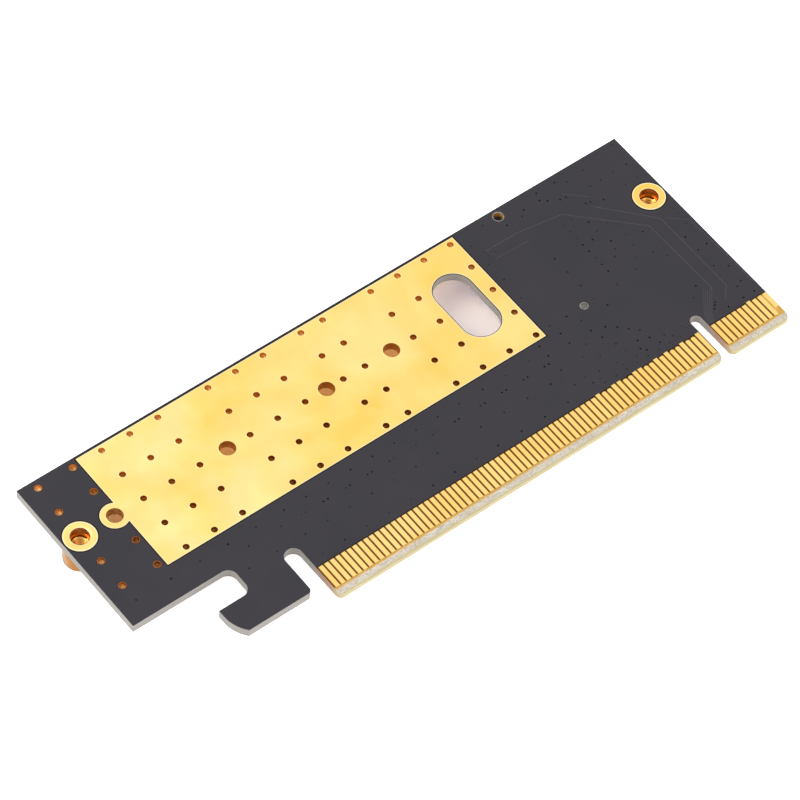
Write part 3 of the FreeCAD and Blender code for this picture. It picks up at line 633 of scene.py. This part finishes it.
def pad_loop(bm, level, grow=0.0):
    """The heat pad's border: a rectangle whose left side swings round the outermost screw hole."""
    left = PAD_LEFT - grow
    half = math.acos((left - LONG_SCREW) / (SCREW_RING + grow))
    rise = (SCREW_RING + grow) * math.sin(half)
    start = bm.verts.new(spot(left, LINE + rise, level))
    made = bmesh.ops.spin(bm, geom=[start], cent=spot(LONG_SCREW, LINE, level), axis=(0, 0, 1),
                          angle=FULL_TURN - 2 * half, steps=LOBE_STEPS, use_duplicate=False)
    last = verts_of(made["geom_last"])[0]
    low, high, right = PAD_LOW - grow, PAD_HIGH + grow, PAD_RIGHT + grow
    corners = [(left, low), (right, low), (right, high), (left, high)]
    chain = [last] + [bm.verts.new(spot(along, up, level)) for along, up in corners] + [start]
    for first, second in zip(chain, chain[1:]):
        bm.edges.new((first, second))


def make_film(name, level):
    bm = bmesh.new()
    rounded_loop(bm, outline_corners(MASK_LINE), level)
    pad_loop(bm, level, WINDOW_GAP)
    circle_loops(bm, STANDOFFS, STANDOFF_RADIUS + WINDOW_GAP, level, RING_STEPS)
    circle_loops(bm, OUTER_VENTS, EYELET_RADIUS + WINDOW_GAP / 4, level, VENT_STEPS)
    for along, up, radius in PEGS:
        circle_loops(bm, [(along, up)], radius + PEG_RIM, level)
    fill(bm)
    thicken(bm, FILM - LIP_RISE)
    finished(bm, name, [VARNISH])


make_film("varnish_back", CORE_BACK)
make_film("varnish_front", FRONT + LIP_RISE)

# %% [markdown]
# The gold pad is copper under a thin layer of gold, as thick as the varnish. It is made like the films, but
# with all of its holes. An inset marks off a border along every edge before the sheet gets its thickness,
# and that border takes a paler gold: a painted highlight. The pad's copy on the component side spreads the
# heat there.

# %% Gold pads
PAD_SETBACK_AT_SLOT = 0.12
PAD_HIGHLIGHT_BORDER = 0.1


def make_pad(name, level, replaced):
    bm = bmesh.new()
    pad_loop(bm, level)
    circle_loops(bm, VENTS, VENT_RADIUS + PLATING, level, VENT_STEPS)
    circle_loops(bm, SCREW_HOLES, SCREW_RADIUS + PLATING, level, HOLE_STEPS)
    oval_loop(bm, level, PAD_SETBACK_AT_SLOT)
    fill(bm)
    # The inset border gets the paler gold, a painted highlight along every edge.
    border = bmesh.ops.inset_region(bm, faces=bm.faces[:], thickness=PAD_HIGHLIGHT_BORDER * MM, use_boundary=True,
                                    use_even_offset=True)
    for face in border["faces"]:
        face.material_index = 1
    thicken(bm, FILM - LIP_RISE)
    finished(bm, name, [PAD_GOLD, HIGHLIGHT_RIM_GOLD], replaced)


make_pad("heat_pad_back", CORE_BACK, ["heat_pad"])
make_pad("heat_pad_front", FRONT + LIP_RISE, [])

# %% [markdown]
# A plated hole is a tube of copper with a flange on each face, like an eyelet. One profile spun about the
# hole's axis makes it, and the same function serves the vents, the screw holes and the standoffs' holes.

# %% Plated holes
FLANGE = 0.02
LIP_EASE = 0.03
RING_EASE = 0.16
SCREW_FLANGE = 0.12
PAD_VENT_STEPS = 20


def spun(bm, along, up, profile, steps):
    """Spin a closed profile of radii and levels once round an upright axis."""
    verts = [bm.verts.new(spot(along + radius, up, level)) for radius, level in profile]
    edges = [bm.edges.new((first, second)) for first, second in zip(verts, verts[1:] + verts[:1])]
    bmesh.ops.spin(bm, geom=verts + edges, cent=spot(along, up), axis=(0, 0, 1), angle=FULL_TURN, steps=steps,
                   use_merge=True, use_duplicate=False)


def eyelet_profile(radius, flange, ease):
    """Half of an eyelet, from its middle to the back face, and the same half mirrored to the front face."""
    outer = radius + PLATING
    under = BACK - LIP_RISE - FLANGE
    half = [(outer, under), (flange, under), (flange, BACK - LIP_RISE / 2), (flange - ease, BACK),
            (radius + ease / 2, BACK), (radius, BACK - LIP_EASE)]
    mirrored = [(place, BACK + FRONT - level) for place, level in reversed(half)]
    return half + mirrored


def make_eyelets(name, places, radius, flange, steps, materials, replaced=(), ease=LIP_EASE):
    """The materials are those of the flange, of its eased borders and of the wall inside the hole."""
    bm = bmesh.new()
    profile = eyelet_profile(radius, flange, ease)
    for along, up in places:
        spun(bm, along, up, profile, steps)
    face_outwards(bm)
    for face in bm.faces:
        facing = abs(face.normal.z)
        face.material_index = 2 if facing < 0.3 else 1 if facing < 0.9995 else 0
    finished(bm, name, materials, replaced, crease=50)


# The walls inside these holes take the barrel gold, whose deeper colour is painted shade.
make_eyelets("vent_eyelets", VENTS, VENT_RADIUS, EYELET_RADIUS, PAD_VENT_STEPS,
             [PAD_GOLD, PAD_GOLD, BARREL_GOLD_PAINTED_SHADE])
make_eyelets("outer_vent_eyelets", OUTER_VENTS, VENT_RADIUS, EYELET_RADIUS, VENT_STEPS,
             [DULL_COPPER, DULL_COPPER, BARREL_GOLD_PAINTED_SHADE])
make_eyelets("screw_hole_eyelets", SCREW_HOLES, SCREW_RADIUS, SCREW_RADIUS + SCREW_FLANGE, HOLE_STEPS,
             [PAD_GOLD, PAD_GOLD, BARREL_GOLD_PAINTED_SHADE])
# The standoff rings' eased borders take the paler gold, a painted highlight.
make_eyelets("standoff_eyelets", STANDOFFS, STANDOFF_HOLE, STANDOFF_RADIUS, RING_STEPS,
             [PAD_GOLD, HIGHLIGHT_RIM_GOLD, BARREL_GOLD_PAINTED_SHADE], ["standoff_ring_tail", "standoff_ring_bracket"], RING_EASE)

# %% [markdown]
# A standoff is turned from a brass bar. Its outside is one spun profile with eased edges. The thread is a
# small ridge: the same spin, given a little lift at every step, turns it into a helix along the bore.

# %% Standoffs
THREAD_MINOR = 1.02
THREAD_MAJOR = 1.25
THREAD_ROOT = THREAD_MAJOR + 0.02
THREAD_PITCH = 0.45
THREAD_START = 0.15
THREAD_ENDS = 0.5
THREAD_STEPS = 28
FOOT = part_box("standoff_tail")[0].z / MM


def standoff_profile():
    """From the chamfered end of the bore, out over the foot and up the side to the countersink."""
    chamfer = 0.12
    foot_ease = 0.15
    foot_knee = 0.04
    top_ease = 0.06
    countersink = 0.35
    return [
        (THREAD_MAJOR, FOOT + chamfer), (THREAD_MAJOR + chamfer, FOOT), (STANDOFF_RADIUS - foot_ease, FOOT),
        (STANDOFF_RADIUS - foot_knee, FOOT + foot_knee), (STANDOFF_RADIUS, FOOT + foot_ease),
        (STANDOFF_RADIUS, FRONT - top_ease), (STANDOFF_RADIUS - top_ease, FRONT),
        (THREAD_MINOR + countersink, FRONT), (THREAD_MAJOR, FRONT - countersink / 2),
    ]


def make_standoff(name, along, node):
    bm = bmesh.new()
    spun(bm, along, LINE, standoff_profile(), RING_STEPS)
    body = set(bm.faces)
    turns = int((FRONT - FOOT - THREAD_ENDS) / THREAD_PITCH)
    # The ridge's corners: how far out each lies, and how far up as a share of the pitch.
    ridge = [(THREAD_ROOT, 0), (THREAD_MINOR, 0.34), (THREAD_MINOR, 0.56), (THREAD_ROOT, 0.92)]
    start = FOOT + THREAD_START
    verts = [bm.verts.new(spot(along + radius, LINE, start + THREAD_PITCH * rise)) for radius, rise in ridge]
    end = bm.faces.new(verts)
    bmesh.ops.spin(bm, geom=[end] + end.edges[:] + verts, cent=spot(along, LINE), axis=(0, 0, 1),
                   dvec=(0, 0, THREAD_PITCH * MM / THREAD_STEPS), angle=FULL_TURN * turns,
                   steps=THREAD_STEPS * turns, use_merge=False, use_duplicate=False)
    face_outwards(bm)
    for face in bm.faces:
        face.material_index = 0 if face in body else 1
    # The thread takes the paler brass, a painted highlight.
    finished(bm, name, [BRASS, THREAD_BRASS_PAINTED_HIGHLIGHT], [node], crease=40)


make_standoff("standoff_nut_tail", TAIL_STANDOFF, "standoff_tail")
make_standoff("standoff_nut_bracket", BRACKET_STANDOFF, "standoff_bracket")

# %% [markdown]
# Closed vias show as tiny dimples, painted near black as shade, and the copper tracks as a faint relief under
# the varnish. A dimple is a flat cone with a few sides, because there are hundreds. A track is drawn by
# extruding its end edge from corner to corner, and an inset that lifts its top gives it soft shoulders.

# %% Vias and tracks
DIMPLE_SIDES = 8
DIMPLE_RADIUS = 0.15
DIMPLE_RISE = 0.005
DIMPLE_DEPTH = 0.004
SKIRT_SPREAD = 1.2
SKIRT_DROP = 0.007
MITRE_LIMIT = 0.5
SHOULDER = 0.02
TRACK_RISE = 0.009


def make_via_dimple_shade():
    material, tree, shader = new_material("via_dimple", 0.8, specular=0.1)
    # Painted shade: the near black stands in for the shade down in a deep via.
    tree.links.new(two_tone(tree, noise(tree, 260, 1), (6, 5, 7), (46, 43, 50), 0.4, 0.62),
                   shader.inputs["Base Color"])
    return material


def make_dimples(name, level, side):
    """Each dimple is a low rim that falls to its middle; side is +1 on the back face and -1 on the front."""
    bm = bmesh.new()
    for along, up in VIAS:
        made = bmesh.ops.create_circle(bm, cap_ends=True, cap_tris=True, segments=DIMPLE_SIDES,
                                       radius=DIMPLE_RADIUS * MM,
                                       matrix=Matrix.Translation(spot(along, up, level + side * DIMPLE_RISE)))
        middle = [vert for vert in made["verts"] if len(vert.link_faces) == DIMPLE_SIDES]
        rim = dict.fromkeys(edge for vert in made["verts"] for edge in vert.link_edges if edge.is_boundary)
        skirt = bmesh.ops.extrude_edge_only(bm, edges=list(rim))
        lower = verts_of(skirt["geom"])
        bmesh.ops.scale(bm, verts=lower, vec=(SKIRT_SPREAD, SKIRT_SPREAD, 1),
                        space=Matrix.Translation(-spot(along, up, level)))
        bmesh.ops.translate(bm, verts=lower, vec=(0, 0, -side * SKIRT_DROP * MM))
        bmesh.ops.translate(bm, verts=middle, vec=(0, 0, -side * DIMPLE_DEPTH * MM))
    face_outwards(bm)
    finished(bm, name, [VIA_DIMPLE_SHADE])


def add_band(bm, corners, width, level):
    """Draw a flat band by extruding its end edge from corner to corner."""
    points = [spot(along, up, level) for along, up in corners]
    previous = None
    for index, point in enumerate(points):
        before = points[max(index - 1, 0)]
        after = points[min(index + 1, len(points) - 1)]
        runs = [run.normalized() for run in (point - before, after - point) if run.length > 0]
        bisector = sum(runs, Vector()).normalized()
        mitre = max(bisector.dot(runs[0]), MITRE_LIMIT)
        across = Vector((-bisector.y, bisector.x, 0)) * width / 2 * MM / mitre
        if previous is None:
            ends = [bm.verts.new(point + across), bm.verts.new(point - across)]
            previous = bm.edges.new(ends)
            continue
        made = bmesh.ops.extrude_edge_only(bm, edges=[previous])
        ends = verts_of(made["geom"])
        ends.sort(key=lambda vert: (vert.co - (points[index - 1] + across)).length)
        ends[0].co = point + across
        ends[1].co = point - across
        previous = [item for item in made["geom"] if isinstance(item, bmesh.types.BMEdge)
                    and all(vert in ends for vert in item.verts)][0]


def make_tracks(name, level, bands, material):
    bm = bmesh.new()
    for corners, width in bands:
        add_band(bm, [(FIRST_CONTACT + along, LIST_RISE + up) for along, up in corners], width, level)
    face_outwards(bm)
    bmesh.ops.reverse_faces(bm, faces=[face for face in bm.faces if face.normal.z < 0])
    bmesh.ops.inset_region(bm, faces=bm.faces[:], thickness=SHOULDER * MM, depth=TRACK_RISE * MM,
                           use_boundary=True, use_even_offset=True)
    finished(bm, name, [material], crease=20)


VIA_DIMPLE_SHADE = make_via_dimple_shade()
# The power plane's borders take a paler varnish: a painted highlight along the edges of their relief.
BORDER_HIGHLIGHT_VARNISH = make_matt("varnish_over_copper_painted_highlight", (49, 47, 53), (59, 56, 62))
FAINT_TRACK_VARNISH = make_matt("varnish_over_thin_copper", (38, 36, 42), (48, 45, 52))
# Each band: its corners, counted like the vias, and its width.
POWER_BORDERS = [
    ([(54.0, 35.6), (60.1, 35.55), (67.7, 34.4), (77.1, 25.1), (77.3, 10.8), (76.9, 10.3)], 0.09),
    ([(72.5, 32.8), (79.4, 25.2), (79.4, 9.9), (77.6, 7.9)], 0.09),
    ([(54.5, 33.6), (60.5, 33.4)], 0.06),
    ([(70.2, 37.4), (73.2, 34.6), (73.3, 31.8), (72.5, 32.8)], 0.06),
    ([(80.0, 24.9), (82.8, 22.5), (83.1, 15.5), (83.1, 8.2)], 0.06),
]
SIGNAL_TRACKS = [([(77.1 - 0.24 * step, 10.5 + 0.2 * step), (74.2 - 0.22 * step, 7.1 + 0.15 * step),
                   (73.7 - 0.25 * step, 5.8)], 0.1) for step in range(5)]
make_dimples("via_dimples", BACK - LIP_RISE, 1)
make_dimples("via_dimples_front", FRONT + LIP_RISE, -1)
# The lighter border lines are a painted highlight; their relief is real.
make_tracks("power_borders", BACK - LIP_RISE, POWER_BORDERS, BORDER_HIGHLIGHT_VARNISH)
make_tracks("signal_tracks", BACK - LIP_RISE, SIGNAL_TRACKS, FAINT_TRACK_VARNISH)

# %% [markdown]
# The socket's two pegs come up through the laminate. The varnish keeps clear of their holes, which leaves a
# bare grey rim. The large hole shows its drilled ochre wall, and resin fills the small one round its peg.
# Both are spun profiles like the eyelets, and the filled one has a floor.

# %% Rims of the peg holes
PEG_RIM_RISE = 0.01
PEG_RIM_DEPTH = 0.03
PEG_WALL = 0.02
PEG_SPIN_STEPS = 28
AXIS = 0.001


def make_peg_hole(name, place, depth, wall, closed):
    """The bare rim and the wall of a peg hole, down to a depth, and a floor where it is closed."""
    along, up, radius = place
    top = CORE_BACK + PEG_RIM_RISE
    under_rim = top - PEG_RIM_DEPTH
    low = top - depth
    profile = [(radius + PEG_RIM, under_rim), (radius + PEG_RIM, top), (radius, top),
               (radius - PEG_WALL, under_rim), (radius - PEG_WALL, low)]
    if closed:
        profile += [(AXIS, low), (AXIS, low - PEG_RIM_DEPTH), (radius, low - PEG_RIM_DEPTH)]
    else:
        profile += [(radius, low)]
    bm = bmesh.new()
    spun(bm, along, up, profile, PEG_SPIN_STEPS)
    face_outwards(bm)
    for face in bm.faces:
        face.material_index = 1 if face.calc_center_median().z < under_rim * MM else 0
    finished(bm, name, [PEG_RIM_GREY, wall], crease=50)


PEG_RIM_GREY = make_matt("peg_rim_grey", (112, 108, 104), (148, 144, 138))
OCHRE_WALL = make_matt("peg_wall_ochre", (128, 84, 24), (176, 130, 62))
OLIVE_RESIN = make_matt("peg_resin_olive", (66, 64, 58), (104, 102, 92))
make_peg_hole("large_peg_hole", PEGS[0], 1.05, OCHRE_WALL, False)
make_peg_hole("small_peg_hole", PEGS[1], 0.14, OLIVE_RESIN, True)

# %% [markdown]
# The nodes that stay as they are get their finishes by their material slots: the contacts their gold, the
# socket its moulded plastic, and the small chips ceramic, resin and tin.

# %% Finishes of the carried nodes
def make_plastic(name, dark, pale, roughness):
    """Moulded or fired material: two close colours, a wandering gloss and a fine grain."""
    material, tree, shader = new_material(name)
    tree.links.new(two_tone(tree, noise(tree, 900, 3), dark, pale, 0.3, 0.7), shader.inputs["Base Color"])
    tree.links.new(wander(tree, noise(tree, 1800, 3), roughness, 0.05), shader.inputs["Roughness"])
    bump(tree, shader, noise(tree, 3600, 3), 0.15, 0.00003)
    return material


SPRING_METAL = make_gold("spring_metal", (232, 206, 150), (214, 186, 128), 0.26, 0.04, 700)
TIN = make_gold("tinned_metal", (214, 214, 216), (190, 190, 194), 0.34, 0.06, 900)
NODE_FINISHES = {
    "edge_contacts_back": CONTACT_GOLD,
    "edge_contacts_front": CONTACT_GOLD,
    "socket_housing": make_plastic("socket_plastic", (13, 13, 14), (22, 22, 23), 0.56),
    "socket_upper_contacts": SPRING_METAL,
    "socket_lower_contacts": SPRING_METAL,
    "socket_holddown_near_tongue": TIN,
    "socket_holddown_near_top": TIN,
    "bulk_capacitor_bodies": make_plastic("capacitor_ceramic", (150, 116, 84), (172, 138, 104), 0.45),
    "resistor_bodies": make_plastic("resistor_film", (22, 22, 24), (38, 38, 42), 0.35),
    "reservoir_capacitor_case": make_plastic("case_resin", (206, 150, 48), (222, 168, 66), 0.42),
    "reservoir_capacitor_leads": TIN,
    "status_lamp_base": make_plastic("lamp_base_resin", (214, 210, 196), (230, 226, 214), 0.5),
    "status_lamp_lens": make_plastic("lamp_lens_resin", (190, 214, 170), (206, 228, 188), 0.2),
}
NODE_FINISHES["decoupling_capacitor_bodies"] = NODE_FINISHES["bulk_capacitor_bodies"]
for node in ("bulk_capacitor", "decoupling_capacitor", "resistor", "status_lamp"):
    NODE_FINISHES[node + "_end_caps"] = TIN
for node, material in NODE_FINISHES.items():
    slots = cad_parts[node].data.materials
    slots.clear()
    slots.append(material)
print(len(NODE_FINISHES), "nodes finished")

# %% [markdown]
# Solder holds every foot and end cap to its land, a small gold rectangle. A joint is a cube whose outer face
# is drawn in, so that the solder slopes up the metal, and a bevel eases its edges. The rows of feet are a
# loop over the socket's pins, and each chip gets a joint at both of its ends.

# %% Lands and solder joints
MOUTH = along_of("socket_housing", 0)
SOCKET_BACK = along_of("socket_housing", 1)
UPPER_FEET = SOCKET_BACK + 0.62
LOWER_FEET = MOUTH - 0.46
CLIP_FEET = SOCKET_BACK + 0.55
MIDDLE_PIN = 38
PIN_PITCH = 0.25
LAND_DEPTH = 0.03
LAND_MARGIN = 0.2
DRAW_IN = 0.62
# Lands and mounds are lengths along and up, and a climb is how high the solder stands.
FOOT_LAND = (1.15, 0.3)
FOOT_SOLDER = (0.9, 0.27)
FOOT_CLIMB = 0.12
CLIP_LAND = (1.3, 1.5)
CLIP_SOLDER = (1.1, 1.25)
CLIP_CLIMB = 0.2
CHIP_GAP = 0.06
CHIP_LAND = 0.75
CHIP_SOLDER = 0.42
CHIP_SOLDER_SHARE = 0.92
SOLDER = make_gold("solder", (206, 206, 208), (182, 182, 186), 0.3, 0.06, 1200)


def add_block(bm, along, up, sizes, level, draw_in):
    """A block between the card's front face and a level, with its far face drawn in. Returns its corners."""
    middle = spot(along, up, (FRONT + level) / 2)
    scale = Matrix.Diagonal((sizes[0] * MM, sizes[1] * MM, abs(level - FRONT) * MM, 1))
    made = bmesh.ops.create_cube(bm, size=1.0, matrix=Matrix.Translation(middle) @ scale)
    far = [vert for vert in made["verts"] if vert.co.z < middle.z]
    bmesh.ops.scale(bm, verts=far, vec=(draw_in, draw_in, 1), space=Matrix.Translation(-middle))
    return made["verts"]


def add_joint(bm, along, up, land, solder, climb):
    """A land, and on it a mound of solder with eased edges."""
    for vert in add_block(bm, along, up, land, FRONT + LAND_DEPTH, 1.0):
        for face in vert.link_faces:
            face.material_index = 1
    mound = add_block(bm, along, up, solder, FRONT - climb, DRAW_IN)
    edges = dict.fromkeys(edge for vert in mound for edge in vert.link_edges)
    bmesh.ops.bevel(bm, geom=list(edges), offset=min(solder) * 0.12 * MM, offset_type="OFFSET", segments=1,
                    profile=0.5, affect="EDGES", clamp_overlap=True, material=-1)


def finish_joints(bm, name):
    face_outwards(bm)
    finished(bm, name, [SOLDER, PAD_GOLD])


def make_socket_joints():
    """The pins are numbered along the mouth: odd ones in the upper row and even ones in the lower."""
    bm = bmesh.new()
    upper = list(range(1, 58, 2)) + list(range(67, 76, 2))
    lower = list(range(2, 59, 2)) + list(range(68, 75, 2))
    for pins, along in ((upper, UPPER_FEET), (lower, LOWER_FEET)):
        for pin in pins:
            add_joint(bm, along, LINE + PIN_PITCH * (MIDDLE_PIN - pin), FOOT_LAND, FOOT_SOLDER, FOOT_CLIMB)
    for node in ("socket_holddown_near_tongue", "socket_holddown_near_top"):
        up = (up_of(node, 0) + up_of(node, 1)) / 2
        add_joint(bm, CLIP_FEET, up, CLIP_LAND, CLIP_SOLDER, CLIP_CLIMB)
    finish_joints(bm, "socket_solder")


def make_chip_joints():
    """Places are along the card and up from the module line; then come a chip's length, width and climb."""
    bulk = [(MOUTH - 3.6, 8.2), (MOUTH - 3.6, 3.9), (SOCKET_BACK + 14.0, -8.8), (SOCKET_BACK + 14.0, -15.8)]
    small = [(MOUTH - 3.9, 0.5), (MOUTH - 3.9, -3.6), (SOCKET_BACK + 4.0, 7.8), (SOCKET_BACK + 4.0, 9.1)]
    turned = [(SOCKET_BACK + 11.8, 5.2), (SOCKET_BACK + 5.0, -4.6), (SOCKET_BACK + 14.3, 5.2)]
    reservoir = [(SOCKET_BACK + 14.0, -12.3)]
    lamp_left, lamp_right = (along_of("status_lamp_end_caps", side) for side in (0, 1))
    lamp_low, lamp_high = (up_of("status_lamp_end_caps", side) for side in (0, 1))
    lamp = [((lamp_left + lamp_right) / 2, (lamp_low + lamp_high) / 2 - LINE)]
    bm = bmesh.new()
    for places, length, width, climb, lies_along in (
            (bulk, 2.0, 1.25, 0.7, True), (small, 1.0, 0.5, 0.25, True), (turned, 1.0, 0.5, 0.25, False),
            (reservoir, 3.5, 2.2, 0.5, True),
            (lamp, lamp_high - lamp_low, lamp_right - lamp_left, 0.2, False)):
        reach = length / 2 + CHIP_GAP
        land = (CHIP_LAND, width + LAND_MARGIN)
        solder = (CHIP_SOLDER, width * CHIP_SOLDER_SHARE)
        for along, up in places:
            for end in (-reach, reach):
                if lies_along:
                    add_joint(bm, along + end, LINE + up, land, solder, climb)
                else:
                    add_joint(bm, along, LINE + up + end, land[::-1], solder[::-1], climb)
    finish_joints(bm, "chip_solder")


make_socket_joints()
make_chip_joints()

# %% [markdown]
# The stage is a white floor. Light Path tells the rays that look at it from the rays that light the card: the
# camera, reflections and clear materials see it glow nearly white, and it still takes a soft shadow. Under
# the pad the glow is held back, because the screw holes and the slot show the shade below the card. There the
# floor is painted warmer, as if lit by the gold above it, with a painted orange glow under the screw holes and
# a painted bluish glow under the slot. Reflections see less of the glow, or the brass would burn out. From
# below the floor is clear, so that the component side can be looked at.

# %% Floor
FLOOR_SIZE = 1.5
FLOOR_LEVEL = -0.2
FLOOR_WHITE = grey(0.8)
FLOOR_GLOW = grey(0.88)
# Painted light under the card: a warmer floor for the gold's bounce, and glows under the screw holes and the
# slot.
PAINTED_GOLD_BOUNCE_COLOUR = (1.0, 0.86, 0.7, 1.0)
PAINTED_GLOW_UNDER_SCREWS = (0.13, 0.025, 0.0, 1.0)
PAINTED_GLOW_UNDER_SLOT = (0.1, 0.14, 0.25, 1.0)
GLOW_IN_REFLECTIONS = 0.3
# Each patch of the floor that holds painted warmth or glow: where it starts and ends along the card, then up
# the card.
PAD_PATCH = ((PAD_LEFT - 3, PAD_RIGHT + 4), (PAD_LOW - 1, PAD_HIGH - 0.5))
SCREW_PATCH = (PAD_PATCH[0], (LINE - 0.5, LINE + 6.5))
SLOT_PATCH = ((OVAL - 2.5, OVAL + 8), (LINE - 5, LINE + 9))
PATCH_SOFTNESS = 1.5


def seen_rays(tree):
    """A factor that is 1 for camera, glossy and transmission rays."""
    path = tree.nodes.new("ShaderNodeLightPath")
    total = path.outputs["Is Camera Ray"]
    for name in ("Is Glossy Ray", "Is Transmission Ray"):
        total = maths(tree, "MAXIMUM", total, path.outputs[name])
    return total


def mix_shaders(tree, factor, first, second):
    node = tree.nodes.new("ShaderNodeMixShader")
    tree.links.new(factor, node.inputs["Fac"])
    tree.links.new(first, node.inputs[1])
    tree.links.new(second, node.inputs[2])
    return node.outputs["Shader"]


def patch(tree, along, up):
    """A factor that is 1 on one rectangle of the floor and falls off softly to 0 around it."""
    factor = None
    for band_of, (low, high) in ((along_band, along), (up_band, up)):
        for edge, rise in ((low, PATCH_SOFTNESS), (high, -PATCH_SOFTNESS)):
            band = band_of(tree, edge - rise, edge + rise)
            factor = band if factor is None else maths(tree, "MULTIPLY", factor, band)
    return factor


def glow_strength(tree):
    """The whole glow for the camera, and a part of it for reflections."""
    path = tree.nodes.new("ShaderNodeLightPath")
    strength = tree.nodes.new("ShaderNodeMapRange")
    strength.inputs["To Min"].default_value = GLOW_IN_REFLECTIONS
    tree.links.new(path.outputs["Is Camera Ray"], strength.inputs["Value"])
    return strength.outputs["Result"]


def make_floor_material():
    material, tree, shader = new_material("floor_white")
    tree.nodes.remove(shader)
    matt = tree.nodes.new("ShaderNodeBsdfDiffuse")
    matt.inputs["Color"].default_value = FLOOR_WHITE
    shaded = tree.nodes.new("ShaderNodeBsdfDiffuse")
    glow = tree.nodes.new("ShaderNodeEmission")
    both = tree.nodes.new("ShaderNodeAddShader")
    clear = tree.nodes.new("ShaderNodeBsdfTransparent")
    side = tree.nodes.new("ShaderNodeNewGeometry")
    painted_patch_under_pad = patch(tree, *PAD_PATCH)
    # Painted glows: orange under the screw holes, bluish under the slot.
    painted_glow = mix_colours(tree, patch(tree, *SCREW_PATCH), grey(0.0), PAINTED_GLOW_UNDER_SCREWS)
    painted_glow = mix_colours(tree, patch(tree, *SLOT_PATCH), painted_glow, PAINTED_GLOW_UNDER_SLOT)
    tree.links.new(mix_colours(tree, painted_patch_under_pad, FLOOR_WHITE, PAINTED_GOLD_BOUNCE_COLOUR), shaded.inputs["Color"])
    tree.links.new(mix_colours(tree, painted_patch_under_pad, FLOOR_GLOW, painted_glow), glow.inputs["Color"])
    tree.links.new(glow_strength(tree), glow.inputs["Strength"])
    tree.links.new(shaded.outputs["BSDF"], both.inputs[0])
    tree.links.new(glow.outputs["Emission"], both.inputs[1])
    from_above = mix_shaders(tree, seen_rays(tree), matt.outputs["BSDF"], both.outputs["Shader"])
    shown = mix_shaders(tree, side.outputs["Backfacing"], from_above, clear.outputs["BSDF"])
    tree.links.new(shown, tree.nodes["Material Output"].inputs["Surface"])
    return material


def make_floor():
    bm = bmesh.new()
    bmesh.ops.create_grid(bm, x_segments=1, y_segments=1, size=FLOOR_SIZE,
                          matrix=Matrix.Translation((0, 0, FLOOR_LEVEL * MM)))
    add_mesh(bm, "floor", [make_floor_material()])


make_floor()
print("floor", 2 * FLOOR_SIZE, "m wide, at z", FLOOR_LEVEL, "mm")

# %% [markdown]
# The light is even: a pale sky, a key lamp behind the tail end, a fill lamp at the front right and a low one
# in front that lights the cut edges. All are broad, so that the gold shows soft patches and no hard spots.
# The lamps are just strong enough for a colour to render about as it is written.

# %% Sky and lamps
SKY_STRENGTH = 0.75


def make_sky():
    world = bpy.data.worlds.new("soft_sky")
    bpy.context.scene.world = world
    world.use_nodes = True
    tree = world.node_tree
    lit = tree.nodes["Background"]
    seen = tree.nodes.new("ShaderNodeBackground")
    for node, strength in ((lit, SKY_STRENGTH), (seen, 1.0)):
        node.inputs["Color"].default_value = grey(1.0)
        node.inputs["Strength"].default_value = strength
    shown = mix_shaders(tree, seen_rays(tree), lit.outputs["Background"], seen.outputs["Background"])
    tree.links.new(shown, tree.nodes["World Output"].inputs["Surface"])


def add_softbox(name, place, size, power):
    """A square lamp that looks at the middle of the card."""
    lamp = bpy.data.lights.new(name, "AREA")
    lamp.shape = "SQUARE"
    lamp.size = size
    lamp.energy = power
    item = add_object(name, lamp)
    item.location = place
    item.rotation_euler = (-Vector(place)).to_track_quat("-Z", "Y").to_euler()
    print(name, power, "W")


make_sky()
add_softbox("key_softbox", (-0.35, 0.25, 0.5), 0.4, 3.0)
add_softbox("fill_softbox", (0.4, -0.45, 0.5), 0.5, 1.9)
add_softbox("front_softbox", (0.05, -0.6, 0.15), 0.4, 1.0)

# %% [markdown]
# The camera stands well above the card's front left corner. It was solved from the contacts, whose pitch is
# known, so its axes are given as they were found: to the right in the picture, down, and into it.

# %% Camera
RIGHT = Vector((0.7867, -0.6145, 0.0594))
DOWN = Vector((-0.4748, -0.6637, -0.5779))
FORWARD = Vector((0.3946, 0.4264, -0.8139))
EYE = Vector((-0.276017, -0.295985, 0.572987))


def make_camera():
    lens = bpy.data.cameras.new("camera")
    lens.lens = 215.81
    lens.sensor_width = 36
    lens.clip_start = 0.01
    lens.clip_end = 20
    item = add_object("camera", lens)
    item.rotation_mode = "QUATERNION"
    item.rotation_quaternion = Matrix((RIGHT, -DOWN, -FORWARD)).transposed().to_quaternion()
    item.location = EYE
    bpy.context.scene.camera = item
    print("camera", round(EYE.length, 3), "m from the frame's origin")


make_camera()
bpy.context.scene.view_settings.view_transform = "Standard"
